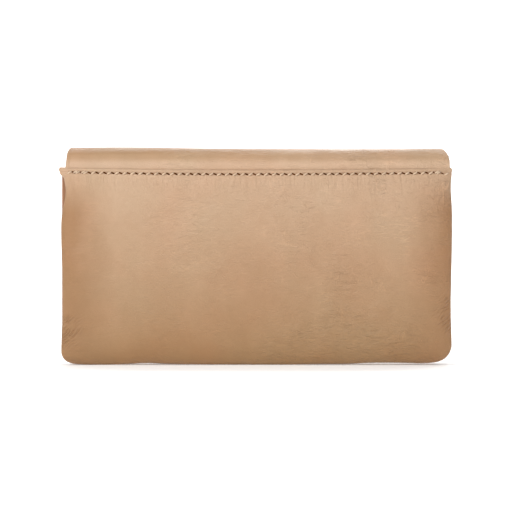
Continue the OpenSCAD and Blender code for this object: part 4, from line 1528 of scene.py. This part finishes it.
def build_stage():
    """The sweep, the world, the lights and a long-lens camera level with the wallet's middle."""
    scene = bpy.context.scene
    points, faces = stage_surface()
    mesh = bpy.data.meshes.new("stage_sweep")
    mesh.from_pydata((points * MM).tolist(), [], faces.tolist())
    mesh.polygons.foreach_set("use_smooth", np.ones(len(mesh.polygons), bool))
    mesh.materials.append(stage_finish())
    sweep = bpy.data.objects.new("stage_sweep", mesh)
    scene.collection.objects.link(sweep)
    world = bpy.data.worlds.new("studio")
    world.use_nodes = True
    background = world.node_tree.nodes["Background"]
    background.inputs[0].default_value = WORLD_COLOUR
    background.inputs[1].default_value = WORLD_STRENGTH
    scene.world = world
    for light in LIGHTS:
        area_light(*light)
    scene.view_settings.view_transform = "Standard"
    camera = bpy.data.cameras.new("camera")
    camera.lens = CAMERA_LENS
    camera.sensor_width = CAMERA_SENSOR
    camera.clip_start, camera.clip_end = 0.05, 20
    eye = bpy.data.objects.new("camera", camera)
    scene.collection.objects.link(eye)
    low, high = FRAME_BOX
    away = FRAME_WIDTH * CAMERA_LENS / CAMERA_SENSOR
    eye.location = (0, BACK_Y * MM - away, (low[2] + high[2]) / 2)
    eye.rotation_euler = (math.pi / 2, 0, 0)
    scene.camera = eye


# ---------------------------------------------------------------- operators


def operator(name, label, text, *steps):
    """An Operator class that runs the given steps in order."""

    def execute(self, context):
        for step in steps:
            step()
        return {"FINISHED"}

    return type("WALLET_OT_" + name, (bpy.types.Operator,), {
        "__doc__": text, "bl_idname": "wallet." + name, "bl_label": label, "execute": execute})


def card_pockets():
    for block, facing, body in (("back", 1, "back_half"), ("front", -1, "front_half")):
        for level in ("upper", "middle", "lower"):
            node = f"{block}_card_pocket_{level}"
            card_pocket(f"{node}_leather", node, facing, body, level == "lower")
        card_seam(f"{block}_card_stitches", f"{block}_card_seam_thread", facing, body)


def wall_linings():
    lining_panel("back_wall_lining", "back_lining", "back_half")
    lining_panel("front_wall_lining", "front_lining", "front_half")


def coin_walls():
    coin_wall("coin_wall_back", "coin_pocket_back", -1)
    coin_wall("coin_wall_front", "coin_pocket_front", 1)


def zip_tapes():
    zip_tape_half("zip_tape_rear", "zip_tape_back", -1)
    zip_tape_half("zip_tape_fore", "zip_tape_front", 1)


def zip_chain():
    zip_teeth_row("zip_teeth_rear", "zip_teeth_back", -1, 0.0)
    zip_teeth_row("zip_teeth_fore", "zip_teeth_front", 1, 0.5)
    zip_stop("zip_stop_top", "zip_top_stop")
    zip_stop("zip_stop_bottom", "zip_bottom_stop")


OPERATORS = (
    operator("stage", "Stage", "Pale sweep, studio lights and camera", build_stage),
    operator("back_leather", "Back leather", "Back, bottom and start of the front in one hide", back_leather),
    operator("back_seam", "Back seam", "Topstitching along the back's turned edge", back_seam),
    operator("padding", "Padding", "Foam behind the back", padding),
    operator("flap_leather", "Flap leather", "Base, roll and cover of the flap", flap_leather_back,
             flap_leather_front),
    operator("flap_lining", "Flap lining", "Lining of the flap", flap_lining_back, flap_lining_front),
    operator("flap_seam", "Flap seam", "Topstitching round the flap's edge", flap_edge_seam),
    operator("front_leather", "Front leather", "Front panel under the flap", front_leather),
    operator("wall_linings", "Wall linings", "Linings of both walls and the floor", wall_linings,
             floor_lining),
    operator("card_pockets", "Card pockets", "Six card pockets and their seams", card_pockets),
    operator("gussets", "Gussets", "Folded sides between the sections", gussets),
    operator("coin_walls", "Coin pocket", "Walls of the coin pocket", coin_walls),
    operator("zip_tapes", "Zip tapes", "Tapes and their seam", zip_tapes, zip_seam),
    operator("zip_chain", "Zip chain", "Teeth and stops", zip_chain),
    operator("zip_slider", "Zip slider", "Slider with its bail, and the pull", zip_slider, zip_pull),
    operator("press_stud", "Press stud", "Cap, socket and stud", stud_cap, stud_socket, stud_post),
    operator("kept_nodes", "Frame nodes", "Materials of the frame nodes that show as they are",
             finish_kept_nodes),
)


class WALLET_PT_build(bpy.types.Panel):
    """Lists the wallet's settings and build steps."""

    bl_label = "Long Wallet"
    bl_idname = "WALLET_PT_build"
    bl_space_type = "VIEW_3D"
    bl_region_type = "UI"
    bl_category = "Wallet"

    def draw(self, context):
        for group in (context.scene.wallet_shape, context.scene.wallet_finish):
            for name in group.__annotations__:
                self.layout.prop(group, name)
        for item in OPERATORS:
            self.layout.operator(item.bl_idname)


CLASSES = (WalletShape, WalletFinish, *OPERATORS, WALLET_PT_build)


def register():
    for item in CLASSES:
        bpy.utils.register_class(item)
    bpy.types.Scene.wallet_shape = bpy.props.PointerProperty(type=WalletShape)
    bpy.types.Scene.wallet_finish = bpy.props.PointerProperty(type=WalletFinish)


def unregister():
    del bpy.types.Scene.wallet_finish
    del bpy.types.Scene.wallet_shape
    for item in reversed(CLASSES):
        bpy.utils.unregister_class(item)


def main():
    register()
    for item in OPERATORS:
        getattr(bpy.ops.wallet, item.bl_idname.split(".")[1])()


if __name__ == "__main__":
    main()
